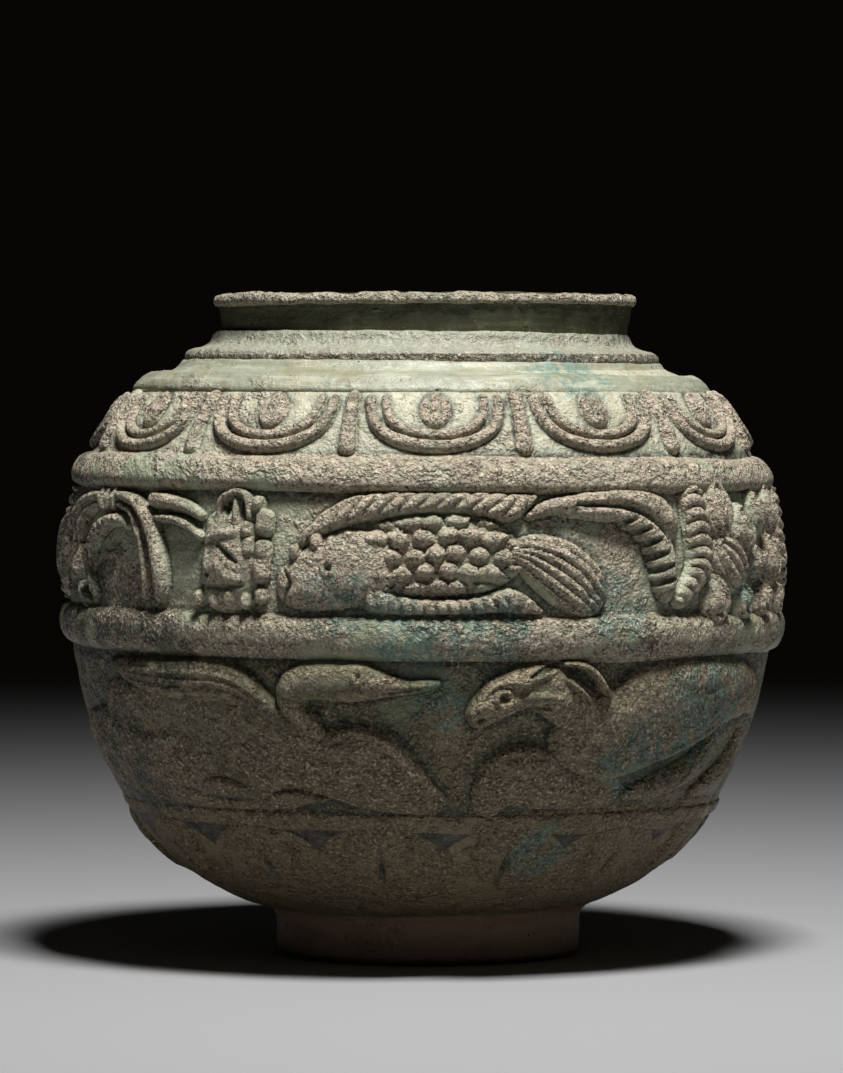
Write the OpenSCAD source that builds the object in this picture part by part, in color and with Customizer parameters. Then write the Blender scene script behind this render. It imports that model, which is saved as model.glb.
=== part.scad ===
// Round faience jar with a foot ring, a short neck and moulded relief friezes.
// The jar stands on z = 0 with its axis on z. The front, where the fish is, faces -y.
// Angles run to the right as seen from outside, from 0 at the front.

/* [Body] */
// Height of the whole jar
jar_h = 184; // [170:0.5:200]
// Outer radius of the bare wall at its widest level
belly_r = 98.3; // [92:0.1:105]
// Height of the widest level, as a share of the jar's height
belly_share = 0.5543; // [0.544:0.0001:0.565]
// Half height of the wall's curve below the widest level
lower_drop = 108; // [104:0.5:114]
// Half height of the wall's curve above the widest level
upper_rise = 80.7; // [79:0.1:84]
// Thickness of the wall
wall = 6; // [4.5:0.1:7]

/* [Foot and floor] */
// Outer radius of the foot ring
foot_r = 42.4; // [38:0.1:46]
// Height of the foot ring
foot_h = 14.5; // [12:0.1:16]
// Thickness of the foot ring
foot_wall = 8; // [6:0.1:12]
// Radius of the bowl's flat underside
underside_r = 46; // [44.5:0.1:48]
// Thickness of the floor inside
floor_t = 6.5; // [5:0.1:9]

/* [Neck] */
// Radius of the mouth
mouth_r = 52; // [47:0.1:57]
// Thickness of the neck's wall at its waist
neck_wall = 5.6; // [4.5:0.1:6.5]
// How far the lip stands out past the neck's waist
lip_out = 1.4; // [0.8:0.1:2.5]
// Height of the lip
lip_h = 4.4; // [3:0.1:6]
// Height where the neck stands on the shoulder, as a share of the jar's height
seat_share = 0.8924; // [0.888:0.0001:0.898]

/* [Bands] */
// Height of the ground band under the animals
ground_h = 4.8; // [4:0.1:6]
// Height of the ground band's lower edge, as a share of the jar's height
ground_share = 0.2152; // [0.21:0.0001:0.22]
// How far the ground band stands out
ground_out = 1.3; // [0.8:0.1:2.5]
// Height of the waist band
waist_h = 11; // [9:0.1:12]
// Height of the waist band's lower edge, as a share of the jar's height
waist_share = 0.4707; // [0.463:0.0001:0.478]
// How far the waist band stands out
waist_out = 3.2; // [2:0.1:4.5]
// Height of the upper band
upper_h = 9; // [7:0.1:10]
// Height of the upper band's lower edge, as a share of the jar's height
upper_share = 0.7098; // [0.702:0.0001:0.717]
// How far the upper band stands out
upper_out = 3.6; // [2:0.1:4.5]
// Height where the wall turns in to the shoulder's slope, as a share of the jar's height
shoulder_share = 0.8511; // [0.846:0.0001:0.856]
// Thickness of the shoulder ring
shoulder_ring_t = 1.7; // [1.2:0.1:2.2]
// Width of the collar ring round the neck's foot
collar_w = 7.3; // [6:0.1:8.5]
// Height of the collar ring
collar_h = 4.2; // [3:0.1:5]

/* [Reliefs] */
// Number of eggs in the moulding under the shoulder
eggs = 12; // [10:1:13]
// Relief of the egg moulding
egg_out = 2.2; // [1.2:0.1:3]
// Relief of the fish frieze
fish_out = 3.4; // [2:0.1:4.5]
// Relief of the animal frieze
animal_out = 3.6; // [2:0.1:4.5]
// Number of petals round the bowl
petals = 14; // [10:1:16]
// Relief of the petals
petal_out = 1.3; // [0.8:0.1:2]
// Play between a piece and the wall that carries it
seat = 0.2; // [0.18:0.01:0.3]

/* [Hidden] */

$fn = 96;
// Fullness of the curve below and above the widest level, where 2 is an ellipse
lower_full = 2;
upper_full = 2.5;
// Heights of the levels
belly_z = jar_h * belly_share;
ground_z = jar_h * ground_share;
waist_z = jar_h * waist_share;
upper_z = jar_h * upper_share;
shoulder_z = jar_h * shoulder_share;
neck_seat_z = jar_h * seat_share;
// Height of the bowl's top, where the lower wall stands on it, behind the ground band
bowl_z = ground_z + ground_h / 2;
// Heights where the wall's sections meet, behind the bands
waist_cut = waist_z + waist_h / 2;
upper_cut = upper_z + upper_h / 2;
// Number of straight steps in the outline of a section, a band, and the neck or its lip
wall_steps = 16;
band_steps = 10;
edge_steps = 8;
// Chamfers of the foot and the mouth
foot_edge = 1.2;
mouth_edge = 1;
neck_r = mouth_r + neck_wall;
// Radius inside the rings that are laid round the neck
neck_ring_r = neck_r + lip_out / 2 + seat;
collar_r = neck_ring_r + collar_w;
// Radius of the wall and height of the field for which each frieze's figures are drawn
fish_sheet = [98.3, 33];
animal_sheet = [98.3, 42];
// Lower edge of each field, and the shares by which its figures grow along the height
fish_z = waist_z + waist_h;
fish_k = (upper_z - fish_z) / fish_sheet[1];
animal_z = ground_z + ground_h;
animal_k = (waist_z - animal_z) / animal_sheet[1];
// A stroke grows across its route as the tighter of the height and the girth lets it
fish_w = min(fish_k, belly_r / fish_sheet[0]);
animal_w = min(animal_k, belly_r / animal_sheet[0]);
// Each frieze is drawn once and repeated on the other side
turns = [0, 180];

// Outer radius of the wall above the bowl, with the wall set in by t
function curve_r(z, t) = z < belly_z
    ? (belly_r - t) * pow(1 - pow((belly_z - z) / (lower_drop - t), lower_full), 1 / lower_full)
    : (belly_r - t) * pow(1 - pow((z - belly_z) / (upper_rise - t), upper_full), 1 / upper_full);

// The bowl is an arc that carries on from the wall and ends at the flat underside
bowl_top = [curve_r(bowl_z, 0), bowl_z];
bowl_lean = (curve_r(bowl_z + 0.1, 0) - curve_r(bowl_z, 0)) / 0.1;
bowl_in = [-1, bowl_lean] / norm([1, bowl_lean]);
bowl_span = [underside_r, foot_h] - bowl_top;
bowl_round = bowl_span * bowl_span / (2 * (bowl_span * bowl_in));
bowl_mid = bowl_top + bowl_round * bowl_in;
function bowl_r(z, t) = bowl_mid[0] + sqrt(max(pow(bowl_round - t, 2) - pow(bowl_mid[1] - z, 2), 0));

// Radius of the whole wall, set in by t
function wall_r(z, t = 0) = z < bowl_z ? bowl_r(z, t) : curve_r(z, t);
function wall_lean(z) = (wall_r(z + 0.1) - wall_r(z - 0.1)) / 0.2;

// Points of the wall's outline from z0 to z1, set in by t
function wall_line(z0, z1, t, n) = [for (i = [0:n]) let (z = z0 + (z1 - z0) * i / n) [wall_r(z, t), z]];
function backwards(p) = [for (i = [len(p) - 1:-1:0]) p[i]];

// Point at an angle and a height, lifted square off the wall
function lift(a, z, h) =
    let (s = wall_lean(z), k = h / sqrt(1 + s * s), r = wall_r(z) + k)
    [r * sin(a), -r * cos(a), z - k * s];

// Smooth curve through the rows of a stroke, at t from 0 to the last row's number
function between(a, b, c, d, f) =
    b + ((c - a) * f + (2 * a - 5 * b + 4 * c - d) * f * f + (3 * b - a - 3 * c + d) * f * f * f) / 2;
function row_at(rows, t) =
    let (last = len(rows) - 1, i = min(max(floor(t), 0), last - 1))
    between(rows[max(i - 1, 0)], rows[i], rows[i + 1], rows[min(i + 2, last)], t - i);

// Cross sections of a stroke: places across it from -1 to 1, and the share of its height there
NARROW = [[-1, 0], [-0.7, 0.75], [0, 1], [0.7, 0.75], [1, 0]];
BROAD = [[-1, 0], [-0.82, 0.6], [-0.45, 0.92], [0, 1], [0.45, 0.92], [0.82, 0.6], [1, 0]];
FLUTED = [[-1, 0], [-0.84, 0.75], [-0.63, 0.5], [-0.42, 0.9], [-0.21, 0.62], [0, 1],
          [0.21, 0.62], [0.42, 0.9], [0.63, 0.5], [0.84, 0.75], [1, 0]];

// A stroke is a strip of paste laid on the wall. Its rows are [angle, height, half width, relief].
// It has n steps along its route. Where notch is over 0, every second step is lower by that
// share, which makes ribs, and lean slants them. Where bump is over 0, it has scales. Its back
// lies play off the wall.
module stroke(rows, n, across = NARROW, notch = 0, lean = 0, bump = 0, play = seat) {
    last = len(rows) - 1;
    tops = len(across);
    // The back of a broad stroke has points in between, so that it follows the wall
    backs = tops > 5 ? [0.5, 0, -0.5] : [];
    ring = tops + len(backs);
    eps = 0.04;
    function spot(t, u, share) =
        let (p = row_at(rows, t),
             d = row_at(rows, min(t + eps, last)) - row_at(rows, max(t - eps, 0)),
             arc = wall_r(p[1]) * PI / 180,
             run = [d[0] * arc, d[1]],
             q = run / norm(run),
             w = u * p[2])
        lift(p[0] + w * (lean * q[0] - q[1]) / arc, p[1] + w * (lean * q[1] + q[0]), play + p[3] * share);
    function share(i, j) =
        across[j][1] * (1 - (i % 2 == 1 ? notch : 0)) * (1 - ((i + j) % 2 == 1 ? bump : 0));
    points = [for (i = [0:n]) each concat(
        [for (j = [0:tops - 1]) spot(i * last / n, across[j][0], share(i, j))],
        [for (u = backs) spot(i * last / n, u, 0)])];
    // Scales need the seams of the faces to run through the low points
    sides = [for (i = [0:n - 1]) for (j = [0:ring - 1])
        let (a = i * ring + j, b = i * ring + (j + 1) % ring, c = b + ring, d = a + ring)
        each (bump > 0 && (i + j) % 2 == 0 ? [[a, b, d], [b, c, d]] : [[a, b, c], [a, c, d]])];
    // The ends are fans round the back's middle point, or round the first point where it has none
    hub = tops > 5 ? tops + 1 : 0;
    start = [for (j = [1:ring - 2]) [hub, (hub + j + 1) % ring, (hub + j) % ring]];
    end = [for (f = start) [for (j = [2:-1:0]) n * ring + f[j]]];
    polyhedron(points = points, faces = concat(sides, start, end), convexity = 6);
}

// A ring round the jar between two heights, whose back lies on the wall. The rounding
// is a half ellipse that stands out by out at its middle.
module wall_ring(z0, h, out) {
    face = [for (i = [0:band_steps])
        let (t = 180 * i / band_steps, z = z0 + h * (1 - cos(t)) / 2)
        [wall_r(z) + seat + (out - seat) * sin(t), z]];
    back = [for (i = [1:band_steps - 1]) let (z = z0 + h * (1 - i / band_steps)) [wall_r(z) + seat, z]];
    rotate_extrude() polygon(concat(face, back));
}

// A section of the wall between two heights
module wall_section(z0, z1) {
    rotate_extrude()
        polygon(concat(wall_line(z0, z1, 0, wall_steps), backwards(wall_line(z0, z1, wall, wall_steps))));
}

module foot_ring() {
    color("darkseagreen") rotate_extrude() polygon([
        [foot_r - foot_edge, 0], [foot_r, foot_edge], [foot_r, foot_h], [foot_r - foot_wall, foot_h],
        [foot_r - foot_wall, foot_edge], [foot_r - foot_wall + foot_edge, 0]]);
}

module base_bowl() {
    floor_z = foot_h + floor_t;
    color("darkolivegreen") rotate_extrude() polygon(concat(
        [[0, foot_h]], wall_line(foot_h, bowl_z, 0, wall_steps),
        backwards(wall_line(floor_z, bowl_z, wall, wall_steps)), [[0, floor_z]]));
}

module lower_wall() {
    color("olivedrab") wall_section(bowl_z, waist_cut);
}

module upper_wall() {
    color("darkseagreen") wall_section(waist_cut, upper_cut);
}

// The shoulder closes in to a flat seat for the neck
module shoulder() {
    slope_t = wall * 0.95;
    inside_z = shoulder_z - wall;
    color("cadetblue") rotate_extrude() polygon(concat(
        wall_line(upper_cut, shoulder_z, 0, wall_steps),
        [[collar_r, neck_seat_z], [mouth_r + mouth_edge, neck_seat_z],
         [mouth_r + mouth_edge, neck_seat_z - slope_t]],
        backwards(wall_line(upper_cut, inside_z, wall, wall_steps))));
}

// The neck is a straight pipe inside and has a slight waist outside
module neck() {
    slim_z = (neck_seat_z + jar_h) / 2;
    spread = lip_out / 2;
    rise = jar_h - mouth_edge - neck_seat_z;
    side = [for (i = [0:edge_steps]) let (z = neck_seat_z + rise * i / edge_steps)
        [neck_r + spread * pow((z - slim_z) / (jar_h - slim_z), 2), z]];
    color("darkseagreen") rotate_extrude() polygon(concat(
        side, [[neck_r - mouth_edge, jar_h], [mouth_r + mouth_edge, jar_h],
               [mouth_r, jar_h - mouth_edge], [mouth_r, neck_seat_z]]));
}

// The lip is a roll round the neck's edge
module rim_lip() {
    mid_z = jar_h - (lip_h + mouth_edge) / 2;
    roll = [for (i = [0:edge_steps]) let (t = 180 * i / edge_steps)
        [neck_ring_r + (lip_out / 2 + seat) * sin(t), mid_z - lip_h / 2 * cos(t)]];
    color("darkseagreen") rotate_extrude() polygon(roll);
}

module ground_band() {
    color("olive") wall_ring(ground_z, ground_h, ground_out);
}

module waist_band() {
    color("darkseagreen") wall_ring(waist_z, waist_h, waist_out);
}

module upper_band() {
    color("rosybrown") wall_ring(upper_z, upper_h, upper_out);
}

// A layer over the shoulder's slope, with a rounded outer edge and a hollow run up to the collar
module shoulder_ring() {
    edge = [wall_r(shoulder_z), shoulder_z];
    top = [collar_r, neck_seat_z];
    run = norm(edge - top);
    down = (edge - top) / run;
    up = [-down[1], down[0]];
    // Shares of the slope's length: where the layer starts under the collar, and where it ends
    first = 0.03;
    last = 0.99;
    // Shares of the ring's thickness at its start, at its fullest and at its rounded edge
    thin = 0.35;
    full = 0.95;
    rounded = 0.6;
    function spot(f, h) = top + down * run * f + up * (seat + shoulder_ring_t * h);
    face = [for (i = [0:edge_steps])
        let (f = i / edge_steps) spot(first + (last - 0.06 - first) * f, thin + (full - thin) * f * f)];
    color("mediumaquamarine") rotate_extrude()
        polygon(concat(face, [spot(last, rounded), spot(last, 0), spot(first, 0)]));
}

// A flat ring round the neck's foot, with a rounded shoulder and a fillet up to the neck
module collar_ring() {
    z0 = neck_seat_z + seat;
    bulge = 0.3;
    fillet = 1.4;
    color("cadetblue") rotate_extrude() polygon([
        [neck_ring_r, z0], [collar_r, z0], [collar_r + bulge, z0 + collar_h * 0.4],
        [collar_r, z0 + collar_h * 0.65], [collar_r - 1, z0 + collar_h * 0.9],
        [collar_r - 3, z0 + collar_h],
        [neck_ring_r + fillet, z0 + collar_h * 1.15], [neck_ring_r, z0 + collar_h * 1.5]]);
}

egg_pitch = 360 / eggs;
egg_mid = 2.5;
egg_top = shoulder_z - 0.6;
egg_deep = egg_top - upper_z - upper_h;
// Share by which the strokes grow with the field, which is drawn 16.4 high
egg_w = egg_deep / 16.4;

// Rows of an arch that hangs from the shoulder. It is as wide and as deep as the two shares
// of an egg's pitch and of the field's height say, and a little fuller than a half ellipse.
function hanging(wide, deep, half, h) = [for (i = [0:8]) let (t = 87 * (i / 4 - 1))
    [egg_mid + wide * egg_pitch / 2 * sin(t), egg_top - deep * egg_deep * pow(cos(t), 0.7),
     half * egg_w, h]];

module egg_frames() {
    color("rosybrown") for (i = [0:eggs - 1]) rotate(i * egg_pitch)
        stroke(hanging(0.77, 0.8, 1.25, egg_out), 8);
}

module egg_cores() {
    color("tan") for (i = [0:eggs - 1]) rotate(i * egg_pitch)
        stroke(hanging(0.57, 0.6, 0.8, egg_out * 0.7), 6);
}

module egg_hearts() {
    top = egg_top - 1;
    color("rosybrown") for (i = [0:eggs - 1]) rotate(i * egg_pitch) stroke([
        [egg_mid, top, 2.4 * egg_w, egg_out * 0.5],
        [egg_mid, top - egg_deep * 0.18, 4.2 * egg_w, egg_out * 0.6],
        [egg_mid, top - egg_deep * 0.3, 1.6 * egg_w, egg_out * 0.3]], 2);
}

module egg_darts() {
    top = egg_top - 0.6;
    mid = egg_mid + egg_pitch / 2;
    color("tan") for (i = [0:eggs - 1]) rotate(i * egg_pitch) stroke([
        [mid, top, 1.5 * egg_w, egg_out * 0.6], [mid, top - egg_deep * 0.4, 1.9 * egg_w, egg_out * 0.8],
        [mid, top - egg_deep * 0.8, 2.3 * egg_w, egg_out * 0.6]], 2);
}

// Rows of the fish frieze: [angle, height over the waist band, half width, share of the relief]
function in_fish(rows) = [for (r = rows) [r[0], fish_z + r[1] * fish_k, r[2] * fish_w, r[3] * fish_out]];
// Rows of the animal frieze: [angle, height over the ground band, half width, share of the relief]
function in_animals(rows) =
    [for (r = rows) [r[0], animal_z + r[1] * animal_k, r[2] * animal_w, r[3] * animal_out]];
// The same rows on the other side of an angle
function mirrored(rows, mid) = [for (r = backwards(rows)) [2 * mid - r[0], r[1], r[2], r[3]]];

garland_mid = -60;
garland_outer = [[-57.2, 31.4, 1, 0.7], [-52, 30, 1.7, 0.9], [-48, 26.3, 1.9, 1], [-45.2, 20.4, 2, 1],
                 [-43.4, 13.5, 2.4, 0.9], [-43.2, 7, 2.4, 0.8], [-43.4, 3.2, 1.8, 0.6]];
garland_inner = [[-57.5, 28.8, 0.9, 0.5], [-53, 27, 1, 0.6], [-49.8, 23, 1.1, 0.7], [-47.8, 17.5, 1.1, 0.7],
                 [-46.4, 11, 1.1, 0.6], [-46.2, 5, 1, 0.5]];

module garland_ribbons() {
    color("rosybrown") for (turn = turns) rotate(turn) {
        for (rows = [garland_outer, mirrored(garland_outer, garland_mid)]) stroke(in_fish(rows), 10);
        for (rows = [garland_inner, mirrored(garland_inner, garland_mid)]) stroke(in_fish(rows), 8);
    }
}

module garland_wreaths() {
    color("darkseagreen") for (turn = turns) rotate(turn) {
        stroke(in_fish([[-64.6, 6.5, 1.2, 0.5], [-65, 13, 1.6, 0.8], [-63.6, 19, 1.8, 0.9],
                        [-60, 23.4, 1.8, 1],
                        [-56, 24.8, 1.4, 0.7], [-53.4, 23.4, 0.8, 0.4]]), 14, notch = 0.35);
        stroke(in_fish([[-70.5, 8, 1, 0.4], [-70, 11, 2.2, 0.8], [-70, 15, 1.2, 0.4]]), 4);
    }
}

module garland_knots() {
    color("tan") for (turn = turns) rotate(turn) for (a = [-61.8, -60, -58.2])
        stroke(in_fish([[a, 32.4, 0.9, 0.6], [a, 30.6, 1.2, 0.9], [a, 28.4, 0.9, 0.6]]), 2);
}

module beast_heads() {
    color("rosybrown") for (turn = turns) rotate(turn) {
        // Brow and muzzle
        stroke(in_fish([[-33.4, 27, 3, 0.5], [-31.6, 24, 5.4, 0.8], [-30.6, 19.5, 7.4, 1],
                        [-30.4, 14, 8.2, 1],
                        [-30.6, 9, 7.8, 0.9], [-31, 5.6, 6, 0.5]]), 7, across = BROAD);
        // Ear and the lobes behind the cheek
        stroke(in_fish([[-32, 28.5, 0.9, 0.6], [-30.4, 31.4, 1.2, 0.9], [-27.6, 30.8, 1.3, 1],
                        [-26.2, 27, 1.2, 0.8]]), 6);
        stroke(in_fish([[-25.2, 31.4, 0.9, 0.7], [-24, 28.6, 1.4, 0.9], [-22.8, 24.5, 2.1, 0.9],
                        [-22.4, 19.5, 2.4, 0.8], [-23, 13.5, 2.4, 0.7], [-23.8, 9, 1.4, 0.4]]), 8);
    }
    // Row of curls under the muzzle
    color("tan") for (turn = turns) rotate(turn) for (a = [-33.6, -30.8, -28, -25.2])
        stroke(in_fish([[a - 0.6, 4.4, 0.8, 0.4], [a, 3, 1.4, 0.8], [a + 0.6, 1.6, 0.8, 0.4]]), 2);
}

module beast_horns() {
    color("tan") for (turn = turns) rotate(turn) {
        stroke(in_fish([[-46.2, 30.4, 0.8, 0.4], [-43, 30, 1.4, 0.8], [-39, 29.2, 1.8, 0.9],
                        [-35.8, 28, 2, 0.8]]), 5);
        stroke(in_fish([[-44.2, 25.6, 0.7, 0.4], [-41, 25, 1.2, 0.8], [-38, 23.6, 1.6, 0.9],
                        [-36.4, 22, 1.2, 0.6]]), 5);
    }
}

fish_body = [[-7.4, 15.8, 8, 0.8], [-4, 16, 9.4, 1], [0, 16.6, 10.3, 1], [4, 16.6, 10.3, 1],
             [8, 16.2, 9.2, 1], [12, 15.6, 5.8, 0.8], [14.6, 15.4, 2.6, 0.5]];

module fish_bodies() {
    scales = [[-1, 0], [-0.82, 0.7], [-0.56, 0.92], [-0.28, 1], [0, 1], [0.28, 1], [0.56, 0.92],
              [0.82, 0.7], [1, 0]];
    color("tan") for (turn = turns) rotate(turn)
        stroke(in_fish(fish_body), 15, across = scales, bump = 0.3);
}

module fish_heads() {
    color("rosybrown") for (turn = turns) rotate(turn)
        stroke(in_fish([[-20, 9, 2.4, 0.5], [-18, 10, 5.2, 0.8], [-14.6, 12.2, 8.4, 1],
                        [-11.4, 13.4, 9.8, 1],
                        [-9.2, 13.6, 9.4, 1], [-8.1, 13.6, 8.6, 0.6]]), 6, across = BROAD);
}

// The back fin rises from the snout and runs over the body. Its rays lean back.
module fish_back_fins() {
    color("darkseagreen") for (turn = turns) rotate(turn)
        stroke(in_fish([[-18.6, 19, 0.8, 0.4], [-15.8, 23.8, 1.3, 0.7], [-12.4, 27.2, 1.8, 0.8],
                        [-8, 29.6, 2.2, 0.9],
                        [-3, 30.3, 2.2, 0.9], [3, 30.4, 2.1, 0.9], [9, 30.2, 2.3, 1], [13.6, 29.4, 2.8, 1],
                        [16.6, 30.2, 1.4, 0.5]]), 26, notch = 0.4, lean = 0.8);
}

module fish_belly_fins() {
    color("darkseagreen") for (turn = turns) rotate(turn)
        stroke(in_fish([[-8, 2, 1.6, 0.6], [-2, 2.8, 1.6, 0.7], [4, 3.2, 1.6, 0.7], [10, 3.6, 1.8, 0.8],
                        [14, 3.6, 2.4, 0.9], [17, 2.4, 1.1, 0.5]]), 18, notch = 0.4, lean = -0.5);
}

module fish_tails() {
    color("rosybrown") for (turn = turns) rotate(turn)
        stroke(in_fish([[15.6, 17, 4.6, 0.6], [18, 15.6, 6.6, 0.9], [20.6, 12.8, 7.8, 1], [23, 9, 7.6, 0.9],
                        [24.4, 6.4, 5, 0.4]]), 6, across = FLUTED);
}

module crescent_leaves() {
    color("tan") for (turn = turns) rotate(turn) {
        stroke(in_fish([[19, 29.4, 1, 0.6], [23, 30.6, 1.5, 0.9], [28, 31, 1.6, 1], [33, 30.6, 1.9, 1],
                        [37.6, 29, 2.9, 1], [40.8, 25.6, 3.5, 1], [41.6, 21.6, 2, 0.7],
                        [41.2, 19.4, 0.8, 0.4]]), 12);
        stroke(in_fish([[17, 25.8, 0.8, 0.4], [21, 26.8, 1.3, 0.8], [25.5, 26.8, 1.6, 0.9],
                        [29.6, 25, 2.2, 1],
                        [33.2, 21.6, 3.2, 1], [36.4, 17.2, 4.3, 1], [38.5, 11.8, 5.1, 1],
                        [39.2, 6.4, 4, 0.7],
                        [39.2, 3.6, 2, 0.4]]), 16, across = BROAD, notch = 0.2, lean = 0.4);
        // A shorter leaf answers it on the far side of the cones
        stroke(in_fish([[90.2, 4.4, 2.4, 0.4], [90.4, 11, 4.8, 1], [92.6, 17.4, 4.4, 1], [96, 22.6, 3, 0.9],
                        [99.6, 26.6, 1.4, 0.4]]), 8, notch = 0.2, lean = -0.4);
    }
}

// The middle of the cluster of cones, with a plaited stem on either side
cone_mid = 64.5;

module plaited_stems() {
    plait = [[46.8, 31.4, 3.8, 0.9], [46.8, 24, 4.1, 1], [46.8, 16, 4.1, 1], [46.4, 10, 3.6, 0.9],
             [45, 6.4, 3.2, 0.8], [42.8, 4, 2.2, 0.5]];
    color("tan") for (turn = turns) rotate(turn) {
        stroke(in_fish(plait), 16, notch = 0.4, lean = -0.3);
        stroke(in_fish(mirrored(plait, cone_mid)), 16, notch = 0.4, lean = 0.3);
    }
}

module cone_clusters() {
    leaf = [[54.4, 32, 4.6, 0.7], [54.4, 28.4, 6.2, 1], [55, 24, 5.4, 0.9], [55.4, 20.6, 2.2, 0.4]];
    low_leaf = [[51.6, 17.8, 2.6, 0.5], [54.2, 14, 5.8, 1], [57, 9.8, 5.4, 0.9], [58.6, 7, 2.4, 0.4]];
    top_leaf = [[61.8, 27, 2.4, 0.5], [61.7, 23, 4.4, 1], [61, 18, 3, 0.8], [60.6, 14.6, 1.2, 0.4]];
    seed = [[49.8, 7.4, 1.2, 0.4], [50.2, 4.4, 4, 0.8], [50.4, 1.2, 5, 0.6]];
    berry = [[55.6, 2.8, 1.4, 0.4], [58.6, 3, 2.4, 0.9], [61.6, 2.6, 1.4, 0.4]];
    mid_leaf = [[cone_mid, 16, 2, 0.5], [cone_mid, 11.4, 4.6, 1], [cone_mid, 6.4, 1.6, 0.4]];
    color("rosybrown") for (turn = turns) rotate(turn) {
        for (rows = [leaf, low_leaf, top_leaf, seed, berry]) {
            stroke(in_fish(rows), 4, notch = 0.15);
            stroke(in_fish(mirrored(rows, cone_mid)), 4, notch = 0.15);
        }
        stroke(in_fish(mid_leaf), 4, notch = 0.15);
    }
}

module duck_bodies() {
    color("darkkhaki") for (turn = turns) rotate(turn) {
        stroke(in_animals([[-76, 27.4, 1.4, 0.3], [-70, 24, 4.6, 0.7], [-62, 20.6, 7.8, 0.9],
                           [-52, 18.9, 9.8, 1],
                           [-42, 18.9, 10.4, 1], [-32, 19.2, 10.4, 1], [-25, 19.8, 9, 0.9],
                           [-20.4, 20.6, 5.6, 0.5]]),
               11, across = BROAD);
    }
    // Breast with its raised edge
    color("tan") for (turn = turns) rotate(turn)
        stroke(in_animals([[-17.6, 18, 4.4, 0.6], [-13.8, 17.8, 6.6, 0.9], [-9.8, 16.6, 7.6, 1],
                           [-6.4, 13.8, 6.6, 0.9],
                           [-2.6, 10, 3.6, 0.6], [1.6, 8.2, 1.2, 0.3]]), 6, across = BROAD);
}

module duck_wings() {
    color("tan") for (turn = turns) rotate(turn)
        stroke(in_animals([[-55, 39.8, 0.8, 0.4], [-51, 38.4, 2.8, 0.7], [-46, 37, 4.2, 0.9],
                           [-40, 36.4, 4.8, 1],
                           [-33, 36.2, 5, 1], [-28.8, 35.4, 5, 0.9],
                           [-25.6, 33.4, 3, 0.5]]), 8, across = FLUTED);
}

module duck_heads() {
    color("rosybrown") for (turn = turns) rotate(turn)
        stroke(in_animals([[-20.8, 28.6, 3, 0.5], [-20, 32.8, 3.4, 0.8], [-17.2, 36.4, 3.8, 1],
                           [-12.6, 37.6, 3.8, 1],
                           [-8.4, 37, 3.2, 1], [-4.4, 35.6, 1.8, 0.8], [-1, 35.6, 1.3, 0.7],
                           [2.4, 36.4, 0.8, 0.4]]),
               12, across = BROAD);
}

module duck_feet() {
    color("tan") for (turn = turns) rotate(turn)
        for (rows = [[[-47, 3.2, 0.9, 0.4], [-42, 5.2, 1.6, 0.8], [-37, 6.2, 1.6, 0.8],
                     [-33, 5.6, 0.8, 0.3]],
                     [[-30, 2.6, 0.8, 0.3], [-26, 4.4, 1.4, 0.7], [-22, 5, 1.4, 0.7],
                      [-18.6, 4.2, 0.8, 0.3]]])
            stroke(in_animals(rows), 6);
}

module horse_bodies() {
    color("darkkhaki") for (turn = turns) rotate(turn) {
        stroke(in_animals([[30.4, 27, 8, 0.6], [36, 26.8, 12, 0.9], [43, 26.6, 13.2, 1],
                           [50, 28.2, 12.2, 1],
                           [57, 30.2, 10.4, 1], [64.6, 30.2, 9, 0.9], [71, 28.2, 5.8, 0.7],
                           [76, 24.4, 2, 0.3]]),
               11, across = BROAD);
    }
}

module horse_heads() {
    color("rosybrown") for (turn = turns) rotate(turn) {
        stroke(in_animals([[6.8, 25.8, 2, 0.5], [8.6, 28.6, 3.4, 0.8], [12, 31.6, 4.2, 1],
                           [16, 32.6, 4.4, 1],
                           [20, 31.4, 5.6, 1], [24, 28.6, 7.2, 0.9],
                           [27.4, 26.6, 7, 0.5]]), 10, across = BROAD);
    }
    // Ear laid back, with the mane behind it
    color("tan") for (turn = turns) rotate(turn)
        stroke(in_animals([[10.6, 37.6, 0.8, 0.5], [13.6, 39, 1.4, 0.9], [17.4, 39.8, 1.7, 1],
                           [21.2, 39.4, 1.5, 0.9],
                           [25.2, 37.6, 1.4, 0.8], [28.4, 35, 0.7, 0.4]]), 8, notch = 0.2);
}

module horse_legs() {
    color("tan") for (turn = turns) rotate(turn) {
        // Foreleg folded under the chest
        stroke(in_animals([[27, 13, 2.4, 0.4], [22, 14.8, 3.4, 0.8], [17, 14.8, 4, 1], [13.4, 11.8, 4, 1],
                           [11.6, 7, 3, 0.8], [11.2, 2.8, 2, 0.4]]), 9);
        // Hind leg drawn up under the belly
        stroke(in_animals([[57, 17.6, 2.4, 0.4], [55, 13.4, 2.6, 0.9], [51, 9, 2.3, 0.9],
                           [45.6, 5.8, 1.8, 0.7],
                           [40, 4.2, 1.2, 0.4]]), 8);
        stroke(in_animals([[69.6, 15.6, 1.8, 0.4], [68, 10, 2.2, 0.8], [64, 6, 1.8, 0.7],
                           [59, 3.6, 1.1, 0.4]]), 6);
    }
}

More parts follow.
